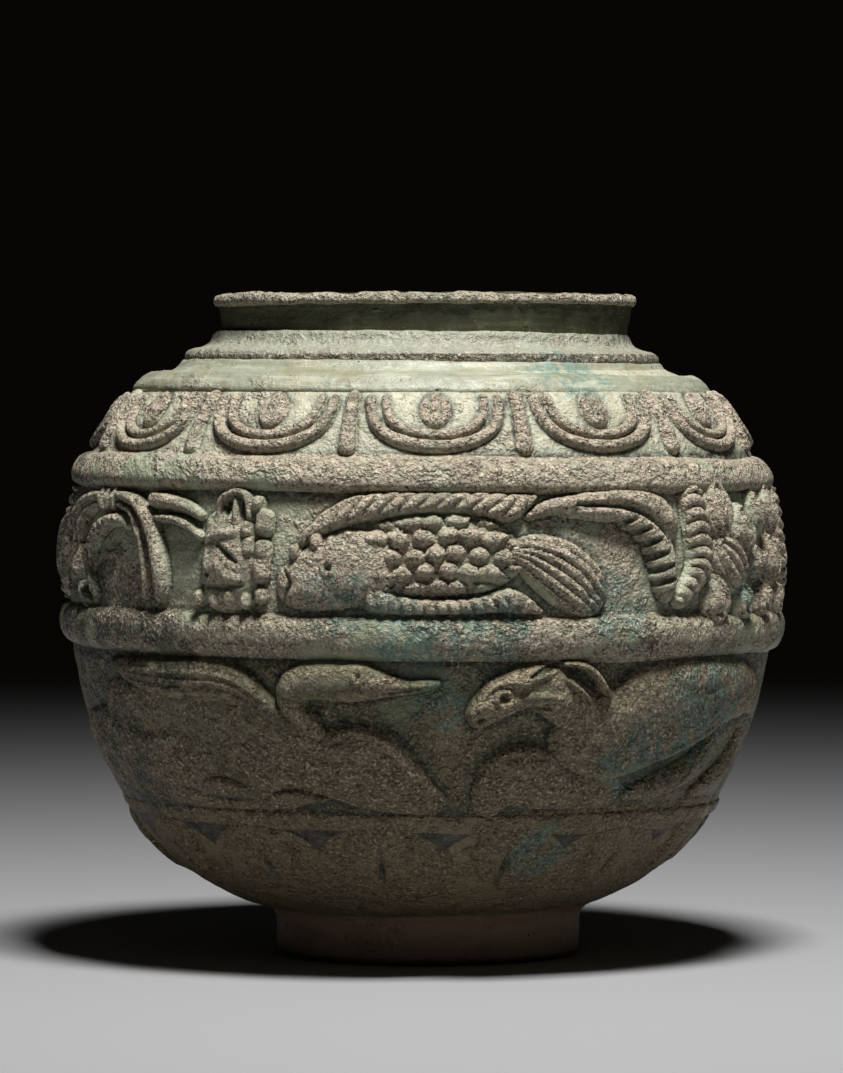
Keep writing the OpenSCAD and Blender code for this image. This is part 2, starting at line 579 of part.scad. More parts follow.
// Leaves that stand round the bowl, each with a hollow midrib
module petals_row() {
    pitch = 360 / petals;
    mid = 17.4;
    low = foot_h + (ground_z - foot_h) * 0.26;
    rise = (ground_z - foot_h) * 0.685;
    steps = 4;
    ribbed = [[-1, 0], [-0.86, 0.75], [-0.4, 1], [0, 0.35], [0.4, 1], [0.86, 0.75], [1, 0]];
    // Half width of a leaf at a share of its height, within its share of the bowl's girth
    function half(f) = 0.47 * pitch * PI / 180 * wall_r(low + rise * f) * pow(1 - 0.97 * pow(f, 1.6), 0.75);
    // The rows lie closer together low down, where the bowl is flattest
    rows = [for (i = [0:steps]) let (f = pow(i / steps, 1.3))
        [mid, low + rise * f, half(f), petal_out * (0.6 + 0.4 * f)]];
    color("olivedrab") for (i = [0:petals - 1]) rotate(i * pitch)
        stroke(rows, steps, across = ribbed, play = 2 * seat);
}

foot_ring();
base_bowl();
lower_wall();
upper_wall();
shoulder();
neck();
rim_lip();
ground_band();
waist_band();
upper_band();
shoulder_ring();
collar_ring();
egg_frames();
egg_cores();
egg_hearts();
egg_darts();
garland_ribbons();
garland_wreaths();
garland_knots();
beast_heads();
beast_horns();
fish_bodies();
fish_heads();
fish_back_fins();
fish_belly_fins();
fish_tails();
crescent_leaves();
plaited_stems();
cone_clusters();
duck_bodies();
duck_wings();
duck_heads();
duck_feet();
horse_bodies();
horse_heads();
horse_legs();
petals_row();
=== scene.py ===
"""A round faience jar with moulded friezes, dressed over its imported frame.

Lengths are in millimetres until a mesh is finished, and in metres after that. Angles run to
the right as seen from outside, from 0 at the front, where the fish is. The front faces -Y.
"""
import logging
import math
from dataclasses import dataclass
from enum import Enum

import bmesh
import bpy
import numpy as np
from mathutils import Matrix, Vector


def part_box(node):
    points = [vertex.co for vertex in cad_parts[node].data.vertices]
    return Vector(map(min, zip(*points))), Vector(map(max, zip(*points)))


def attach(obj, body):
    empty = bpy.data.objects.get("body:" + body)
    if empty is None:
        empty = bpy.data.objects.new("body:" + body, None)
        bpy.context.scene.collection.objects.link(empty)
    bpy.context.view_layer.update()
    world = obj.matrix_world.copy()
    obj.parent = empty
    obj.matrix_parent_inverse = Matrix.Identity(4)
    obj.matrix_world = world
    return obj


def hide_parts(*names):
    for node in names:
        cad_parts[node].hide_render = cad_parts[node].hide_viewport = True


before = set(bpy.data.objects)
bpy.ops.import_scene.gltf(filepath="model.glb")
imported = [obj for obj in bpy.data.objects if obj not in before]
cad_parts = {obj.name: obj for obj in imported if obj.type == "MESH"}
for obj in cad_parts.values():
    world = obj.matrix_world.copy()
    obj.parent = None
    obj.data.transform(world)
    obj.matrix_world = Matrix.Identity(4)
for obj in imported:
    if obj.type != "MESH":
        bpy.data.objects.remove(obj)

Socket = bpy.types.NodeSocket
Outline = list[tuple[float, float]]
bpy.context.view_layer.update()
MM = 0.001
BODY = "root"
EGG_TOP = 156.0
PETAL_LOW = 22.5

logging.basicConfig(level=logging.INFO, format="%(message)s")
log = logging.getLogger("jar")


def bottom_mm(node: str) -> float:
    """Height in millimetres of a CAD node's lowest point."""
    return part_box(node)[0].z / MM


def top_mm(node: str) -> float:
    """Height in millimetres of a CAD node's highest point."""
    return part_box(node)[1].z / MM


@dataclass(frozen=True)
class WallCurve:
    """The bare wall that carries the friezes, an ellipse above and below, with a bowl under it."""

    belly_r: float = 98.3
    belly_z: float = 102.0
    lower_drop: float = 108.0
    upper_rise: float = 80.7
    lower_full: float = 2.0
    upper_full: float = 2.5
    foot_h: float = 14.5
    underside_r: float = 46.0
    bowl_z: float = 42.0
    thickness: float = 6.0

    def curve(self, z: np.ndarray, inset: float = 0.0) -> np.ndarray:
        """Radius of the wall above the bowl.

        Args:
            z: Heights.
            inset: How far inside the outer face.

        Returns:
            The radius at each height.
        """
        z = np.asarray(z, float)
        down = np.clip((self.belly_z - z) / (self.lower_drop - inset), 0, 1)
        up = np.clip((z - self.belly_z) / (self.upper_rise - inset), 0, 1)
        low = (1 - down**self.lower_full) ** (1 / self.lower_full)
        high = (1 - up**self.upper_full) ** (1 / self.upper_full)
        return (self.belly_r - inset) * np.where(z < self.belly_z, low, high)

    def bowl(self, z: np.ndarray, inset: float = 0.0) -> np.ndarray:
        """Radius of the bowl, an arc that carries on from the wall down to the flat underside.

        Args:
            z: Heights.
            inset: How far inside the outer face.

        Returns:
            The radius at each height.
        """
        z = np.asarray(z, float)
        top = np.array([float(self.curve(self.bowl_z)), self.bowl_z])
        lean = float(self.curve(self.bowl_z + 0.1) - self.curve(self.bowl_z)) / 0.1
        inward = np.array([-1.0, lean]) / math.hypot(1.0, lean)
        span = np.array([self.underside_r, self.foot_h]) - top
        arc = float(span @ span / (2 * (span @ inward)))
        middle = top + arc * inward
        return middle[0] + np.sqrt(np.maximum((arc - inset) ** 2 - (middle[1] - z) ** 2, 0))

    def radius(self, z: np.ndarray, inset: float = 0.0) -> np.ndarray:
        """Radius of the wall or the bowl at each height, set in by inset."""
        return np.where(np.asarray(z) < self.bowl_z, self.bowl(z, inset), self.curve(z, inset))

    def outline(self, heights: np.ndarray, inset: float = 0.0) -> Outline:
        """Points of the wall as radius and height, set in by inset."""
        return [(float(self.radius(z, inset)), z) for z in heights]

    def arc(self, z: float) -> float:
        """Length of one degree round the wall at a height."""
        return float(self.radius(z)) * math.pi / 180

    def lean(self, z: np.ndarray) -> np.ndarray:
        """How fast the radius grows with the height."""
        return (self.radius(z + 0.1) - self.radius(z - 0.1)) / 0.2

    def lift(self, angle: np.ndarray, z: np.ndarray, height: np.ndarray) -> np.ndarray:
        """Points lifted square off the wall.

        Args:
            angle: Angles in degrees.
            z: Heights.
            height: How far off the wall.

        Returns:
            An array of points, one row each.
        """
        lean = self.lean(z)
        out = height / np.sqrt(1 + lean**2)
        r = self.radius(z) + out
        a = np.radians(angle)
        return np.stack([r * np.sin(a), -r * np.cos(a), z - out * lean], axis=-1)


WALL = WallCurve()


class Grain:
    """Smooth noise on a lattice, the same on every run."""

    SIDE = 32

    def __init__(self, seed: int) -> None:
        """Fills the lattice from a fixed seed."""
        self.table = np.random.default_rng(seed).random((self.SIDE,) * 3) * 2 - 1

    def at(self, points: np.ndarray, size: float) -> np.ndarray:
        """Noise at points, whose lumps are about size across.

        Args:
            points: Points in millimetres, one row each.
            size: Width of a lump.

        Returns:
            Values from -1 to 1.
        """
        spot = points / size + 7.3
        cell = np.floor(spot).astype(int)
        part = spot - cell
        part = part * part * (3 - 2 * part)
        total = np.zeros(len(points))
        for corner in np.ndindex(2, 2, 2):
            index = (cell + corner) % self.SIDE
            share = np.prod(np.where(corner, part, 1 - part), axis=1)
            total += share * self.table[index[:, 0], index[:, 1], index[:, 2]]
        return total


GRAIN = Grain(11)


class Act(Enum):
    """What a stroke does to the surface."""

    RAISED = "raised"
    LAID = "laid"
    CARVED = "carved"


class Pattern(Enum):
    """What covers a stroke."""

    PLAIN = "plain"
    RIBS = "ribs"
    FLUTES = "flutes"
    KNOBS = "knobs"
    NEST = "nest"


def grooves(turn: np.ndarray) -> np.ndarray:
    """Depth between rounded rods that lie side by side, one for each whole number."""
    return 1 - np.sqrt(1 - (2 * (turn % 1) - 1) ** 2 * 0.99)


@dataclass(frozen=True)
class Cover:
    """A pattern's real sizes.

    Fields are the pitch along the stroke, the pitch across it, the depth of its grooves, how
    far a rib leans per millimetre across, and how far its ends trail at the stroke's edges.
    """

    pattern: Pattern = Pattern.PLAIN
    pitch: float = 4.0
    across: float = 4.0
    depth: float = 1.0
    lean: float = 0.0
    arch: float = 0.0

    def height(self, along: np.ndarray, side: np.ndarray, share: np.ndarray) -> np.ndarray:
        """Change of height that the pattern makes.

        Args:
            along: Millimetres along the stroke.
            side: Millimetres across it, positive to the left of its run.
            share: The same as a share of the half width.

        Returns:
            Heights to add, none above 0.
        """
        if self.pattern is Pattern.RIBS:
            turn = (along + self.lean * side + self.arch * share**2) / self.pitch
            return -self.depth * grooves(turn)
        if self.pattern is Pattern.FLUTES:
            return -self.depth * grooves((share + 1) * self.across / 2)
        if self.pattern is Pattern.KNOBS:
            row = np.floor(side / self.across + 0.5)
            column = along / self.pitch + 0.5 * (row % 2)
            cell = np.floor(column)
            # Each knob sits a little off its place
            x = column - cell - 0.5 + 0.12 * np.sin(9.1 * row + 4.7 * cell)
            y = side / self.across - row + 0.1 * np.sin(5.3 * row + 7.9 * cell)
            ring = np.clip(np.hypot(2.05 * x, 2.05 * y), 0, 1)
            return -self.depth * (1 - np.sqrt(1 - ring**2))
        if self.pattern is Pattern.NEST:
            wave = 0.5 - 0.5 * np.cos(4 * np.pi * np.clip(np.abs(share), 0, 1))
            return -self.depth * wave**2.5
        return np.zeros_like(along)


PLAIN = Cover()
# Height where no stroke reaches
NOTHING = -99.0


@dataclass(frozen=True)
class Stroke:
    """A strip of paste or a cut that runs over the wall.

    Rows are (angle, rise, half width) and a share of the depth where it isn't the whole. The
    edge is how blunt the ends are, and power and soft are how flat its top and how steep its
    sides are.
    """

    rows: tuple
    depth: float
    act: Act = Act.RAISED
    cover: Cover = PLAIN
    edge: float = 1.5
    power: float = 2.6
    soft: float = 0.55

    def line(self, foot: float, steps: int = 4) -> np.ndarray:
        """Points of the smooth route through the rows.

        Args:
            foot: Height of the field's foot, which the rises are over.
            steps: Points for each gap between two rows.

        Returns:
            Rows of angle, height, half width and share.
        """
        p = np.array([(*row, 1.0)[:4] for row in self.rows], float)
        p[:, 1] += foot
        if len(p) < 3:
            return p
        out = []
        for i in range(len(p) - 1):
            a, b, c, d = p[max(i - 1, 0)], p[i], p[i + 1], p[min(i + 2, len(p) - 1)]
            for f in np.arange(steps) / steps:
                bend = (2 * a - 5 * b + 4 * c - d) * f * f + (3 * b - a - 3 * c + d) * f**3
                out.append(b + ((c - a) * f + bend) / 2)
        out.append(p[-1])
        return np.array(out)

    def read(self, foot: float, angle: np.ndarray, z: np.ndarray) -> tuple[np.ndarray, np.ndarray]:
        """Height that the stroke gives at each point.

        Args:
            foot: Height of the field's foot.
            angle: Angles of the points.
            z: Heights of the points.

        Returns:
            The height, which falls below 0 outside the outline, and the place across as a
            share of the half width.
        """
        line = self.line(foot)
        far = np.full(len(angle), NOTHING)
        share = np.full(len(angle), 9.0)
        reach = line[:, 2].max() + 4
        arc = WALL.arc(line[:, 1].mean())
        near = np.nonzero(
            (angle > line[:, 0].min() - reach / arc) & (angle < line[:, 0].max() + reach / arc)
            & (z > line[:, 1].min() - reach) & (z < line[:, 1].max() + reach))[0]
        if len(near) == 0:
            return far, share
        a, h = angle[near], z[near]
        best = np.full(len(near), 99.0)
        along, side = np.zeros(len(near)), np.zeros(len(near))
        width, level = np.ones(len(near)), np.zeros(len(near))
        run = 0.0
        last = len(line) - 2
        for i in range(len(line) - 1):
            p, q = line[i], line[i + 1]
            arc = WALL.arc((p[1] + q[1]) / 2)
            ex, ez = (q[0] - p[0]) * arc, q[1] - p[1]
            size = math.hypot(ex, ez)
            if size < 1e-6:
                continue
            px, pz = (a - p[0]) * arc, h - p[1]
            reached = (px * ex + pz * ez) / size
            t = np.clip(reached / size, 0, 1)
            over = np.abs(reached - t * size)
            cross = (ex * pz - ez * px) / size
            half = p[2] + (q[2] - p[2]) * t
            # The ends are blunt, so what lies past them counts for more
            end = ((i == 0) & (reached < 0)) | ((i == last) & (reached > size))
            over = np.where(end, over * np.maximum(half / self.edge, 1), over)
            d = np.hypot(cross, over)
            closer = d / half < best
            best = np.where(closer, d / half, best)
            along = np.where(closer, run + t * size, along)
            side = np.where(closer, cross, side)
            width = np.where(closer, half, width)
            level = np.where(closer, p[3] + (q[3] - p[3]) * t, level)
            run += size
        inside = np.clip(1 - np.clip(best, 0, 1) ** self.power, 0, 1) ** self.soft
        top = level * self.depth * inside
        if self.act is Act.RAISED:
            across = best if self.cover.pattern is Pattern.NEST else side / width
            top += self.cover.height(along, side, across) * np.minimum(inside * 1.6, 1) * level
            top = np.where(best > 1, -(best - 1) * np.minimum(width, 3.0) * 2.2, top)
        far[near] = top
        share[near] = best
        return far, share


def circle(angle: float, rise: float, radius: float, half: float) -> tuple:
    """Rows of a small ring on the wall.

    Args:
        angle: Angle of its middle.
        rise: Rise of its middle.
        radius: Radius of its middle line.
        half: Half the width of its line.

    Returns:
        Rows for a stroke.
    """
    turns = np.linspace(0, 2 * math.pi, 9)
    arc = WALL.belly_r * math.pi / 180
    return tuple((angle + radius * math.cos(t) / arc, rise + radius * math.sin(t), half)
                 for t in turns)


def mirrored(rows: tuple, middle: float) -> tuple:
    """The same rows on the other side of an angle."""
    return tuple((2 * middle - r[0], *r[1:]) for r in reversed(rows))


def raised(rows: tuple, depth: float, **settings) -> Stroke:
    """A stroke that stands on the wall."""
    return Stroke(tuple(rows), depth, Act.RAISED, **settings)


def lump(angle: float, rise: float, wide: float, tall: float, depth: float) -> Stroke:
    """An upright rounded lump.

    Args:
        angle: Angle of its middle.
        rise: Rise of its middle.
        wide: Half its width.
        tall: Half the length of its middle line.
        depth: How far it stands out.

    Returns:
        The stroke.
    """
    return raised(((angle, rise - tall, wide), (angle, rise + tall, wide)), depth, edge=wide,
                  power=2.2)


def laid(rows: tuple, depth: float) -> Stroke:
    """A low ridge on top of a raised stroke."""
    return Stroke(tuple(rows), depth, Act.LAID, power=2.0, soft=1.0)


def carved(rows: tuple, depth: float) -> Stroke:
    """A groove cut into a raised stroke."""
    return Stroke(tuple(rows), depth, Act.CARVED, power=2.0, soft=1.0)


def blank(owner: bpy.types.Material | bpy.types.World) -> bpy.types.NodeTree:
    """Turns on the nodes of a material or a world, and clears them."""
    owner.use_nodes = True
    owner.node_tree.nodes.clear()
    return owner.node_tree


def add(tree: bpy.types.NodeTree, kind: str, inputs: dict | None = None,
        **settings) -> bpy.types.Node:
    """Adds a node to a material.

    Args:
        tree: The material's node tree.
        kind: The node's type.
        inputs: Values or sockets by input name or number.
        **settings: The node's own settings.

    Returns:
        The new node.
    """
    node = tree.nodes.new(kind)
    for name, value in settings.items():
        setattr(node, name, value)
    for name, value in (inputs or {}).items():
        if isinstance(value, Socket):
            tree.links.new(value, node.inputs[name])
        else:
            node.inputs[name].default_value = value
    return node


def linear(code: str) -> tuple[float, float, float, float]:
    """Turns an sRGB hex colour to Blender's linear colour."""
    parts = [int(code[i:i + 2], 16) / 255 for i in (1, 3, 5)]
    return (*(c / 12.92 if c <= 0.04045 else ((c + 0.055) / 1.055) ** 2.4 for c in parts), 1.0)


@dataclass(frozen=True)
class Spot:
    """A patch of colour on the jar, by the angle and height of its middle and its radius."""

    angle: float
    z: float
    size: float

    def place(self) -> Vector:
        """Its middle on the wall, in metres."""
        r, a = float(WALL.radius(self.z)), math.radians(self.angle)
        return Vector((r * math.sin(a), -r * math.cos(a), self.z)) * MM


BLUE = (Spot(-13, 102, 14), Spot(-2, 94, 17), Spot(10, 93, 16), Spot(33, 163, 17), Spot(52, 72, 24),
        Spot(38, 60, 17), Spot(31, 98, 15), Spot(3, 74, 10), Spot(25, 34, 13), Spot(62, 104, 12),
        Spot(150, 100, 32), Spot(210, 66, 34), Spot(255, 128, 26))
# Dark patches, partly a real stain and partly painted shade on the left side, which turns from the
# lamp
SOOT_AND_SHADE = (Spot(-64, 90, 36), Spot(-44, 88, 16), Spot(-86, 124, 42), Spot(-80, 96, 36),
        Spot(-60, 58, 24), Spot(170, 50, 34))
RUST = (Spot(37, 91, 7), Spot(28, 92, 4))


@dataclass(frozen=True)
class Faience:
    """Quartz frit with a worn alkaline copper glaze: sandy on the high spots, green in the hollows.

    The paste's grit is about 0.5 mm, drawn at 0.85 mm so that it shows. The glaze has gone in
    patches 20 to 40 mm across, with edges ragged at 5 mm. Earth has settled over 13 mm, specks
    are 3.4 mm wide, and the pits of burst bubbles lie 2.4 mm apart in groups 7 mm wide.
    """

    name: str
    paste: str = "#b3a48c"
    glaze: str = "#a2a68d"
    stain: str = "#386e66"
    # Dark of grit and bubble pits, and also painted shade in the deepest hollows
    dirt_and_shade: str = "#1d1810"
    pale: str = "#ece6d0"
    low: str = "#6e5f44"
    glazed: float = 0.5
    blue: float = 0.55
    grit: float = 1.0
    streaks: float = 0.0
    # Tone of the glaze's specks and of glaze pooled in the hollows, and also painted shade there
    pool_and_shade: str = "#5f6f5f"
    pooling_and_shade: float = 0.5
    soot_and_shade: str = "#2a2a1a"
    rust: str = "#4a1c16"
    rubbed: str = "#4a3d2c"
    rubbed_z: float = 0.0
    rubbed_half: float = 1.9
    grain_mm: float = 0.85
    lump_mm: float = 2.2
    pit_mm: float = 2.4
    clump_mm: float = 3.2
    speck_mm: float = 3.4
    ragged_mm: float = 5.5
    bubble_mm: float = 7.0
    earth_mm: float = 13.0
    patch_mm: float = 24.0
    rough_paste: float = 0.58
    rough_glaze: float = 0.46

    def material(self) -> bpy.types.Material:
        """Builds the material.

        Returns:
            The material, on Object coordinates and the mesh's height and hollow attributes.
        """
        made = bpy.data.materials.new(self.name)
        tree = blank(made)
        place = add(tree, "ShaderNodeTexCoord").outputs["Object"]
        height = add(tree, "ShaderNodeAttribute", attribute_name="height").outputs["Fac"]
        hollow = add(tree, "ShaderNodeAttribute", attribute_name="hollow").outputs["Fac"]

        def noise(size_mm: float, detail: float, rough: float = 0.5, at: Socket = place) -> Socket:
            """Noise whose lumps are size_mm across."""
            return add(tree, "ShaderNodeTexNoise", {
                "Vector": at, "Scale": 1 / (size_mm * MM), "Detail": detail,
                "Roughness": rough}).outputs["Fac"]

        def between(value: Socket, low: float, high: float, a: float = 0.0,
                    b: float = 1.0) -> Socket:
            """Maps low to high onto a to b, smoothly."""
            return add(tree, "ShaderNodeMapRange", {
                "Value": value, "From Min": low, "From Max": high, "To Min": a, "To Max": b},
                interpolation_type="SMOOTHSTEP").outputs["Result"]

        def both(how: str, a: object, b: object) -> Socket:
            """Joins two values, held between 0 and 1."""
            return add(tree, "ShaderNodeMath", {0: a, 1: b},
                       operation=how, use_clamp=True).outputs[0]

        def free(a: object, b: object) -> Socket:
            """Multiplies two values, and the result may go over 1."""
            return add(tree, "ShaderNodeMath", {0: a, 1: b}, operation="MULTIPLY").outputs[0]

        def times(a: object, b: object) -> Socket:
            """Multiplies two values, held between 0 and 1."""
            return both("MULTIPLY", a, b)

        def tint(factor: object, under: object, code: str) -> Socket:
            """Lays a colour over another."""
            return add(tree, "ShaderNodeMix", {0: factor, 6: under, 7: linear(code)},
                       data_type="RGBA").outputs[2]

        def near(spots: tuple[Spot, ...], ragged: Socket) -> Socket:
            """How deep a point lies in any of the spots, whose edges are ragged."""
            deep = None
            for spot in spots:
                away = add(tree, "ShaderNodeVectorMath", {0: place, 1: spot.place()},
                           operation="DISTANCE").outputs["Value"]
                part = both("SUBTRACT", 1.0, free(away, 1 / (spot.size * MM)))
                deep = part if deep is None else both("MAXIMUM", deep, part)
            broken = free(both("SUBTRACT", ragged, 0.36), 3.4)
            return between(times(broken, times(deep, 2.2)), 0.2, 0.55)

        # The glaze is left in patches and in the hollows, and worn off the high spots
        ragged = noise(self.ragged_mm, 6, 0.75)
        patches = between(noise(self.patch_mm, 5, 0.65), 0.62 - 0.3 * self.glazed,
                          0.72 - 0.3 * self.glazed)
        worn = times(between(height, 0.2, 0.8), between(ragged, 0.62, 0.42, 0.25, 0.75))
        kept = both("MAXIMUM", both("SUBTRACT", patches, worn),
                    times(hollow, between(ragged, 0.35, 0.55, 0.35, 0.85)))
        # The glaze is rubbed off at one height: the moulding's edge, or else where the jar stands
        depth = add(tree, "ShaderNodeSeparateXYZ", {0: place}).outputs["Z"]
        off = add(tree, "ShaderNodeMath",
                  {0: depth, 1: self.rubbed_z * MM, 2: self.rubbed_half * MM},
                  operation="COMPARE").outputs[0]
        off = times(off, between(ragged, 0.34, 0.46))
        kept = both("SUBTRACT", kept, off)
        colour = tint(kept, linear(self.paste), self.glaze)
        # Brown earth has settled unevenly
        colour = tint(between(noise(self.earth_mm, 6, 0.72), 0.5, 0.66, 0.0, 0.45), colour,
                      self.low)
        # The glaze is mottled with specks of its own darker tone
        colour = tint(between(noise(self.speck_mm, 6, 0.75), 0.5, 0.64, 0.0, 0.65 * self.pooling_and_shade),
                      colour, self.pool_and_shade)
        # The lower part of the jar is darker and browner
        colour = tint(between(depth, 0.092, 0.03, 0.0, 0.8), colour, self.low)
        # Copper in the glaze has turned blue-green in places
        colour = tint(times(near(BLUE, ragged), self.blue), colour, self.stain)
        # Dark patches, partly a stain and partly painted shade on the side that turns from the lamp
        colour = tint(times(near(SOOT_AND_SHADE, ragged), 0.72), colour, self.soot_and_shade)
        colour = tint(times(near(RUST, noise(1.6, 3)), 0.8), colour, self.rust)
        if self.streaks:
            flat = add(tree, "ShaderNodeMapping",
                       {"Vector": place, "Scale": (0.12, 0.12, 1.6)}).outputs["Vector"]
            lines = noise(3.0, 5, 0.7, flat)
            colour = tint(between(lines, 0.5, 0.62, 0.0, self.streaks), colour, self.pale)
            colour = tint(between(lines, 0.46, 0.34, 0.0, self.streaks), colour, self.low)
        # Glaze has run together in the hollows, its dark tone partly painted shade; the deepest
        # cuts and the wall at the figures' feet are darkened as painted shade
        run = times(between(ragged, 0.3, 0.5, 0.3, 1.0), self.pooling_and_shade)
        colour = tint(times(between(hollow, 0.2, 0.75), run), colour, self.pool_and_shade)
        colour = tint(times(between(hollow, 0.55, 0.9), between(noise(3, 3), 0.35, 0.6, 0.2, 0.85)),
                      colour, self.dirt_and_shade)
        colour = tint(times(off, 0.6), colour, self.rubbed)
        # Grit where the paste is bare: light quartz grains and dark pits
        grit = noise(self.grain_mm, 3, 0.65)
        coarse = times(between(noise(self.clump_mm, 3, 0.6), 0.35, 0.65, 0.45, 1.0),
                       between(kept, 0.1, 0.9, 1.0, 0.36))
        colour = tint(times(between(grit, 0.53, 0.66, 0.0, 0.85 * self.grit), coarse), colour,
                      self.pale)
        colour = tint(times(between(grit, 0.48, 0.35, 0.0, self.grit), coarse), colour, self.dirt_and_shade)
        pits = add(tree, "ShaderNodeTexVoronoi",
                   {"Vector": place, "Scale": 1 / (self.pit_mm * MM)}).outputs["Distance"]
        chosen = times(between(pits, 0.2, 0.1), between(noise(self.bubble_mm, 2), 0.6, 0.68))
        colour = tint(chosen, colour, self.dirt_and_shade)

        lumps = times(both("ADD", times(noise(self.lump_mm, 3, 0.6), 0.4), times(grit, 0.6)),
                      coarse)
        relief = both("SUBTRACT", lumps, times(chosen, 0.5))
        bump = add(tree, "ShaderNodeBump", {
            "Strength": 1.0, "Distance": (0.3 + 3.3 * self.grit) * MM, "Height": relief})
        rough = add(tree, "ShaderNodeMapRange", {
            "Value": kept, "To Min": self.rough_paste,
            "To Max": self.rough_glaze}).outputs["Result"]
        shader = add(tree, "ShaderNodeBsdfPrincipled", {
            "Base Color": colour, "Roughness": rough, "IOR": 1.5, "Normal": bump.outputs["Normal"]})
        add(tree, "ShaderNodeOutputMaterial", {"Surface": shader.outputs["BSDF"]})
        return made


def placed(name: str, data: bpy.types.ID) -> bpy.types.Object:
    """Makes an object of a mesh, a lamp or a camera, and puts it in the scene."""
    made = bpy.data.objects.new(name, data)
    bpy.context.scene.collection.objects.link(made)
    return made


def repeat(bm: bmesh.types.BMesh, count: int) -> None:
    """Turns copies of a whole mesh round the jar's axis, so that there are count of it."""
    whole = bm.verts[:] + bm.edges[:] + bm.faces[:]
    for i in range(1, count):
        again = bmesh.ops.duplicate(bm, geom=whole)["geom"]
        bmesh.ops.rotate(bm, cent=(0, 0, 0),
                         matrix=Matrix.Rotation(2 * math.pi * i / count, 3, "Z"),
                         verts=[g for g in again if isinstance(g, bmesh.types.BMVert)])


# Width and height of the lumps on every hand-worked surface
ROUGH = ((14.0, 0.3), (4.5, 0.2), (1.5, 0.12))


def finish_piece(bm: bmesh.types.BMesh, how: str, node: str, slot: str,
                 material: bpy.types.Material,
                 rough: tuple[tuple[float, float], ...] = ROUGH) -> bpy.types.Object:
    """Weathers a mesh, makes it an object in place of its CAD node and reports it.

    Args:
        bm: The mesh, in millimetres.
        how: How the piece was made, the first word of its name.
        node: The CAD node that it stands for.
        slot: The record's material slot; not used.
        material: Its finish.
        rough: Pairs of a lump's width and its height off the surface.

    Returns:
        The new object.
    """
    name = f"{how}_{node}"
    mesh = bpy.data.meshes.new(name)
    bm.to_mesh(mesh)
    bm.free()
    count = len(mesh.vertices)
    points, normals = np.zeros(count * 3), np.zeros(count * 3)
    mesh.vertices.foreach_get("co", points)
    mesh.vertex_normals.foreach_get("vector", normals)
    points, normals = points.reshape(-1, 3), normals.reshape(-1, 3)
    shift = sum(tall * GRAIN.at(points, wide) for wide, tall in rough)
    points += normals * shift[:, None]
    points[:, 2] = np.maximum(points[:, 2], 0)
    mesh.vertices.foreach_set("co", (points * MM).ravel())
    mesh.shade_smooth()
    mesh.materials.append(material)
    piece = placed(name, mesh)
    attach(piece, BODY)
    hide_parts(node)
    log.info("%s: %d vertices, %d faces", name, count, len(mesh.polygons))
    return piece


